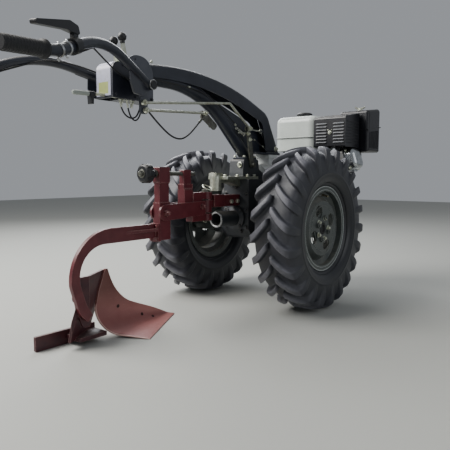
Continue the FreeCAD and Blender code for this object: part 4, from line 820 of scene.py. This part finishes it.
# Nuts on the coupling and the plough were brushed over with them. The tongue's two bolts are bright zinc,
# and the nut that holds the star knob is stained like its screw.
piece("coupling_nuts", "coupling", "plough_paint", maroon, *[
    bolt((x, side * out, z), (0, side, 0), across, end=2.0)
    for side in (1, -1) for x, out, z, across in ((-534, 32.8, 385, 13.0), (-352, 31.8, 399, 12.0))])
piece("tongue_bolts", "chassis", "zinc", zinc_plate,
      *[bolt((x, -17.8, 410), (0, -1, 0), 15.0, washer=False) for x in (-174, -136)],
      *[bolt((x, 17.8, 410), (0, 1, 0), 13.0, end=3.0) for x in (-174, -136)])
piece("knob_nut", "screw", "zinc", worn_zinc, bolt((-616.2, 0, screw_height), (-1, 0, 0), 17.0))
piece("tongue_welds", "chassis", "plough_paint", maroon,
      *[weld_bead([(-276, y, 392), (-276, y, 436)]) for y in (-20, 20)],
      *[weld_bead([(-218.5, -18, z), (-218.5, 18, z)], 2.2) for z in (391.6, 436.4)])
fork_welds, plough_welds = [], []
for side in (1, -1):
    fork_welds.append(weld_bead([(x, side * 13.4, z) for x, z in (
        (-434.4, 480), (-434.4, 464), (-391.6, 464), (-391.6, 480))], 2.4))
    fork_welds.append(weld_bead([(-391.5, side * 17, 366), (-391.5, side * 17, 450)]))
    plough_welds.append(weld_bead([(-566, side * 7.4, 306), (-566, side * 7.4, 350)], 2.8))
    plough_welds.append(weld_bead([(-568 - 12 * i, side * (19.0 - 1.18 * i), 334.6) for i in range(10)], 1.8))
    plough_welds += [weld_bead([(-554.2, side * 13.6, z), (-504.8, side * 13.6, z)], 2.2) for z in (419.8, 485.6)]
piece("fork_welds", "coupling", "plough_paint", maroon, *fork_welds)
piece("plough_welds", "plough", "plough_paint", maroon, *plough_welds)
piece("plough_nuts", "plough", "plough_paint", maroon,
      *[bolt((-566.2, y, z), (-1, 0, 0), 9.0, washer=False) for y in (-14.4, 14.4) for z in (300, 342)],
      *[bolt((x, 16.0, z), (0, 1, 0), 15.0, end=4.0) for x, z in ((-868, 196), (-868, 150), (-848, 92))])

# The mouldboard and share are forged plate. Soil has scoured their maroon paint to a satin pinkish brown,
# scored along the way it slides, and the edges are rubbed bright. Higher up, the steep wall is painted a darker brown
# as shade.
# The landside takes the frog's darker maroon, painted as shade.
worked_steel, tree, place = new_material("scoured_painted_share_steel")
clouds = add(tree, "ShaderNodeTexNoise", inputs={
    "Vector": place, "Scale": 1000 / 60, "Detail": 4.0, "Roughness": 0.55, "Distortion": 0.4})
drawn_out = add(tree, "ShaderNodeMapping", {"vector_type": "POINT"}, {
    "Vector": place, "Rotation": (0.0, 0.0, math.radians(-30)), "Scale": (1.0, 9.0, 9.0)})
scratches = add(tree, "ShaderNodeTexNoise", inputs={
    "Vector": drawn_out, "Scale": 1000 / 34, "Detail": 6.0, "Roughness": 0.7})
height = add(tree, "ShaderNodeSeparateXYZ", inputs={"Vector": place}).outputs["Z"]
# Above the share the plate is painted a darker brown as shade on the steep wall.
upright_shade = add(tree, "ShaderNodeMapRange", inputs={"Value": height, "From Min": 0.06, "From Max": 0.15})
share_colour = add(tree, "ShaderNodeMix", {"data_type": "RGBA"}, {
    0: clouds, 6: linear("#8e5956"), 7: linear("#a4706c")})
shaded_plate_colour = add(tree, "ShaderNodeMix", {"data_type": "RGBA"}, {
    0: upright_shade, 6: share_colour, 7: linear("#6a403c")})
scored = add(tree, "ShaderNodeMapRange", inputs={
    "Value": scratches, "From Min": 0.6, "From Max": 0.74, "To Max": 0.5})
scored_colour = add(tree, "ShaderNodeMix", {"data_type": "RGBA"}, {
    0: scored, 6: shaded_plate_colour, 7: linear("#c39a94")})
rounded = add(tree, "ShaderNodeBevel", {"samples": 4}, {"Radius": 0.0018})
facing = add(tree, "ShaderNodeNewGeometry").outputs["Normal"]
flatness = add(tree, "ShaderNodeVectorMath", {"operation": "DOT_PRODUCT"}, {0: rounded, 1: facing})
edge = add(tree, "ShaderNodeMapRange", inputs={"Value": flatness, "From Min": 0.99, "From Max": 0.90})
from_wing = add(tree, "ShaderNodeVectorMath", {"operation": "SUBTRACT"}, {0: place, 1: at(-666, -84, 0)})
along_share = add(tree, "ShaderNodeVectorMath", {"operation": "DOT_PRODUCT"}, {0: from_wing, 1: (0.866, 0.5, 0.0)})
rear_edge = add(tree, "ShaderNodeMapRange", inputs={
    "Value": along_share, "From Min": -0.0070, "From Max": -0.0085})
rubbed_edge = add(tree, "ShaderNodeMath", {"operation": "MAXIMUM"}, {0: edge, 1: rear_edge})
steel_shown = add(tree, "ShaderNodeMix", {"data_type": "RGBA"}, {
    0: rubbed_edge, 6: scored_colour, 7: linear("#dcb4ac")})
gloss = add(tree, "ShaderNodeMapRange", inputs={
    "Value": scratches, "From Min": 0.35, "From Max": 0.7, "To Min": 0.3, "To Max": 0.5})
finish_surface(tree, {"Base Color": steel_shown, "Roughness": gloss, "Metallic": 0.25, "Normal": rounded},
               scratches, 0.12)
dress(worked_steel, "worn_steel", "mouldboard")
# The landside takes the darker maroon, painted as shade.
dress(shade_dark_maroon, "worn_steel", "landside")

# Square-necked bolts lie flush in the share and hold the landside. Soil has left them dark brown and dull.
dark_bolt = bare_metal("soiled_plough_bolt", "#3a2422", "#241a1a", 0.6, metallic=0.5)
flush_bolts = (
    # place on the mouldboard's face, the way that the face looks there
    ((-665.3, 72.6, 79.2), (0.015, -0.999, -0.05)),
    ((-562.0, 70.3, 30.7), (0.076, -0.932, 0.354)),
    ((-515.2, 65.0, 14.5), (0.145, -0.667, 0.731)),
)
piece("plough_bolts", "plough", "worn_steel", dark_bolt,
      *[bolt((x, 88.0, 24), (0, 1, 0), 13.0, washer=False) for x in (-846, -786)],
      *[turned(point, way, [(-2, 0), (-2, 6.0), (0.3, 6.0), (0.5, 5.2), (0.5, 0)], 16) for point, way in flush_bolts])

# The engine is a single with its cylinder leaning right: grey aluminium castings with the mould's grain, a
# mirror-bright rocker cover, and glossy black covers with zinc screws.
cast_aluminium = bare_metal("die_cast_aluminium", "#8c8e90", "#5c5a54", 0.48, stain_mm=28.0, grain_mm=2.4,
                            relief_mm=0.2, metallic=0.85)
chromed_cover = bare_metal("polished_rocker_cover", "#b9bdbf", "#8b8d8d", 0.2, metallic=1.0)
black_engine = enamelled("black_engine_enamel", "#141519", "#1b1c21", "#6c6d70", 0.32, wear=0.5, dust=0.4)
dress(cast_aluminium, "engine_alloy", "engine_block", "cylinder", "carburettor")
dress(chromed_cover, "engine_alloy", "rocker_cover")
dress(black_engine, "engine_black", "fan_housing", "recoil_starter")
dress(black_engine, "engine_sheet", "muffler")
cylinder_lean = math.radians(18)


def by_cylinder(x, y, z):
    """A point given along the leaning cylinder, as one in the machine's millimetres."""
    out = y * math.cos(cylinder_lean) + z * math.sin(cylinder_lean)
    up = -y * math.sin(cylinder_lean) + z * math.cos(cylinder_lean)
    return Vector((335 + x, -40 + out, crank_height + up))


cylinder_foot = by_cylinder(0, 0, 0)
cylinder_way = by_cylinder(0, -1, 0) - cylinder_foot
piece("engine_bolts", "chassis", "zinc", zinc_plate,
      *[bolt(by_cylinder(x, -250.4, z), cylinder_way, 8.0) for x, z in ((-42, 40), (42, 40), (-42, -40), (42, -40))],
      *[bolt((399.8, y, 420), (1, 0, 0), 10.0) for y in (-120, 50)],
      *[bolt((262 + 35 * i, 58, 404), (0, 0.6, -0.8), 8.0, washer=False) for i in range(4)])
piece("spark_plug_boot", "chassis", "black_rubber", black_rubber,
      turned(by_cylinder(60, -232, -4), by_cylinder(1, -0.5, -0.2) - cylinder_foot, [
          (-1, 0), (-1, 7), (10, 7), (12, 10), (34, 10), (38, 7), (38, 0)], 16))
piece("dipstick", "chassis", "black_plastic", grey_plastic,
      turned((330, 64, 430), (0.2, 1, 0.5), [(0, 0), (0, 12), (6, 12), (6, 17), (16, 17), (18, 15), (18, 0)], 12))

# The recoil starter's cover is screwed on in front, with a moulded black handle on its rope. The throttle
# lever and the stop switch are moulded too, and even in colour.
crank_y = -30
piece("starter_screws", "chassis", "zinc", zinc_plate,
      *[bolt(point, (1, 0, 0), 8.0) for point in ring_points((480, crank_y, crank_height), (1, 0, 0), 84.0, 4, 45)],
      *[bolt((455.2, y, z), (1, 0, 0), 9.0) for y, z in ((58, 420), (60, 560), (-148, 430), (-148, 575))])
piece("starter_hub", "chassis", "engine_black", black_engine,
      turned((493, crank_y, crank_height), (1, 0, 0), [
          (-0.3, 0), (-0.3, 33), (3, 33), (5, 30), (5, 12), (8, 10), (8, 0)], 40))
piece("starter_handle", "chassis", "black_plastic", black_plastic,
      turned((478, -108, 556), (0, 0.35, 1), [(0, 0), (0, 6), (6, 8), (14, 6), (14, 0)], 16),
      swept([(478, -128, 578), (478, -116, 574), (478, -92, 574), (478, -80, 578)], [5, 7, 7, 5], 12))
piece("throttle_lever", "chassis", "black_plastic", black_plastic,
      swept([(372, 66, 590), (372, 74, 594), (372, 78, 612), (366, 78, 636)], [4, 4, 3.4, 3.4], 10),
      turned((366, 78, 634), (-0.2, 0, 1), [(0, 0), (0, 6), (4, 7), (12, 7), (14, 5), (14, 0)], 12))
piece("stop_switch", "chassis", "black_plastic", black_plastic,
      turned((430, 74.2, 560), (0, 1, 0), [(-0.3, 0), (-0.3, 13), (7, 13), (8, 11), (8, 0)], 4),
      turned((430, 82, 560), (0, 1, 0), [(0, 0), (0, 6), (5, 6), (5, 0)], 12))

# The fuel tank is two pressed shells in pale grey enamel, smooth and bright, rolled together at a seam that
# sealer fills. Its cap is moulded black nylon, ribbed for the fingers; the tap is dull brass.
tank_enamel = enamelled("pale_grey_tank_enamel", "#bcc2bd", "#adb3ae", "#6f716f", 0.24, wear=0.3, dust=0.15,
                        patch_mm=90.0, peel_mm=5.0, relief_mm=0.02)
dress(tank_enamel, "tank_paint", "fuel_tank")
dress(black_plastic, "black_plastic", "fuel_cap")
cap_x, cap_y = 332, -46
piece("cap_ribs", "chassis", "black_plastic", black_plastic,
      *[swept([point, point + Vector((0, 0, 6.5))], 1.8, 6)
        for point in ring_points((cap_x, cap_y, 779), (0, 0, 1), 33.0, 24)],
      turned((cap_x, cap_y, 790.2), (0, 0, 1), [(-0.3, 0), (-0.3, 14), (1.6, 13), (1.6, 0)]))
seam_sealer = moulded("dark_seam_sealer", "#3a3c3e", 0.6)
seam_corners = (
    # middle of the tank's corner, the degrees its quarter turn starts at
    (429, 37, 0),
    (295, 37, 90),
    (295, -101.5, 180),
    (429, -101.5, 270),
)
seam_radius, seam_height = 37.2, 677
seam_line = []
for middle_x, middle_y, first in seam_corners:
    for i in range(7):
        turn = math.radians(first + 15 * i)
        seam_line.append((middle_x + seam_radius * math.cos(turn), middle_y + seam_radius * math.sin(turn), seam_height))
piece("tank_seam", "chassis", "tank_paint", seam_sealer, swept(seam_line + seam_line[:1], 0.9, 6))
piece("fuel_tap", "chassis", "zinc", valve_brass, turned((420, -120, 620.2), (0, 0, -1), [
    (-0.3, 0), (-0.3, 9), (4, 9), (4, 6), (14, 6), (16, 4), (24, 4), (24, 0)], 12))

# The exhaust guard is folded black sheet with two columns of pressed louvres and a side of punched dimples; the
# louvres' lips and the top fold are painted paler grey as a highlight. A zinc screw in a bent wire holds it.
dress(black_engine, "engine_sheet", "exhaust_guard")
# A paler grey enamel, painted as a highlight on the louvres' lips and the top fold.
louvre_highlight_enamel = enamelled("highlit_louvre_enamel", "#5f6268", "#74777c", "#b5b7ba", 0.35, wear=0.8, dust=0.4)
louvre_lips = []
for column in (-282.0, -202.5):
    for row in range(7):
        top = 651 + 13 * row
        outline = ((250.2, top), (245.6, top - 3.4), (244.8, top - 3.0), (249.8, top + 1.6))
        louvre_lips.append(lofted([[(x, y, z) for x, z in outline] for y in (column + 2, column + 50)]))
piece("louvre_lips", "chassis", "engine_sheet", louvre_highlight_enamel, *louvre_lips)
piece("guard_perforation", "chassis", "engine_sheet", black_engine, *[
    turned((266 + 13 * i, -287.0, 648 + 12.5 * k), (0, -1, 0), [
        (-0.3, 0), (-0.3, 4.2), (0.8, 3.8), (0.8, 2.6), (-0.2, 2.4), (-0.2, 0)], 10)
    for i in range(9) for k in range(8)])
piece("guard_screw", "chassis", "zinc", zinc_plate, bolt((249.8, -216, 690), (-1, 0, 0), 10.0),
      swept([(248.6, -226, 704), (248.2, -216, 688), (248.6, -206, 704)], 1.6, 6))
# The top fold's paler strip is a painted highlight.
piece("guard_fold", "chassis", "engine_sheet", louvre_highlight_enamel, swept([
    (251, -286, 757.4), (262, -286.4, 758.6), (300, -286.6, 764.8), (372, -286.4, 776.4), (382, -286, 777.6)], 1.0, 6))

# The air cleaner is a moulded blue-black box with a lid, glossy and nearly free of dust. A wing nut clamps it
# over the carburettor's elbow.
cleaner_plastic = moulded("moulded_blue_black_plastic", "#0c0e15", 0.36, dust=0.12)
dress(cleaner_plastic, "black_plastic", "air_cleaner")
cleaner_top, cleaner_side = Vector((456, -256, 799.5)), -325.3
piece("wing_nut", "chassis", "zinc", zinc_plate,
      turned(cleaner_top, (-0.12, 0, 1), [(-1, 0), (-1, 13), (1.5, 13), (1.5, 7), (9, 6), (10, 4), (10, 0)], 20),
      swept([cleaner_top + Vector(step) for step in ((-8, 20, 14), (-4, 12, 8), (4, -12, 8), (8, -20, 14))],
            [3.2, 4.2, 4.2, 3.2], 10))
piece("cleaner_ribs", "chassis", "black_plastic", cleaner_plastic, *[
    swept([(x, cleaner_side, 628), (x, cleaner_side - 0.1, 640), (x, cleaner_side, 696 + (x - 393) * 0.12)], 1.6, 6)
    for x in range(412, 510, 14)])

# The engine stands on the folded steel bed, and four zinc bolts go up through it into the crankcase. Four
# smaller ones hold the tank's flange from below.
piece("bed_bolts", "chassis", "zinc", zinc_plate,
      *[bolt((x, y, 379.5), (0, 0, -1), 13.0) for y in (-110, 44) for x in (285, 375)],
      *[bolt((x, y, 672), (0, 0, -1), 8.0) for x, y in ((292, -88), (432, -88), (292, 24), (432, 24))])
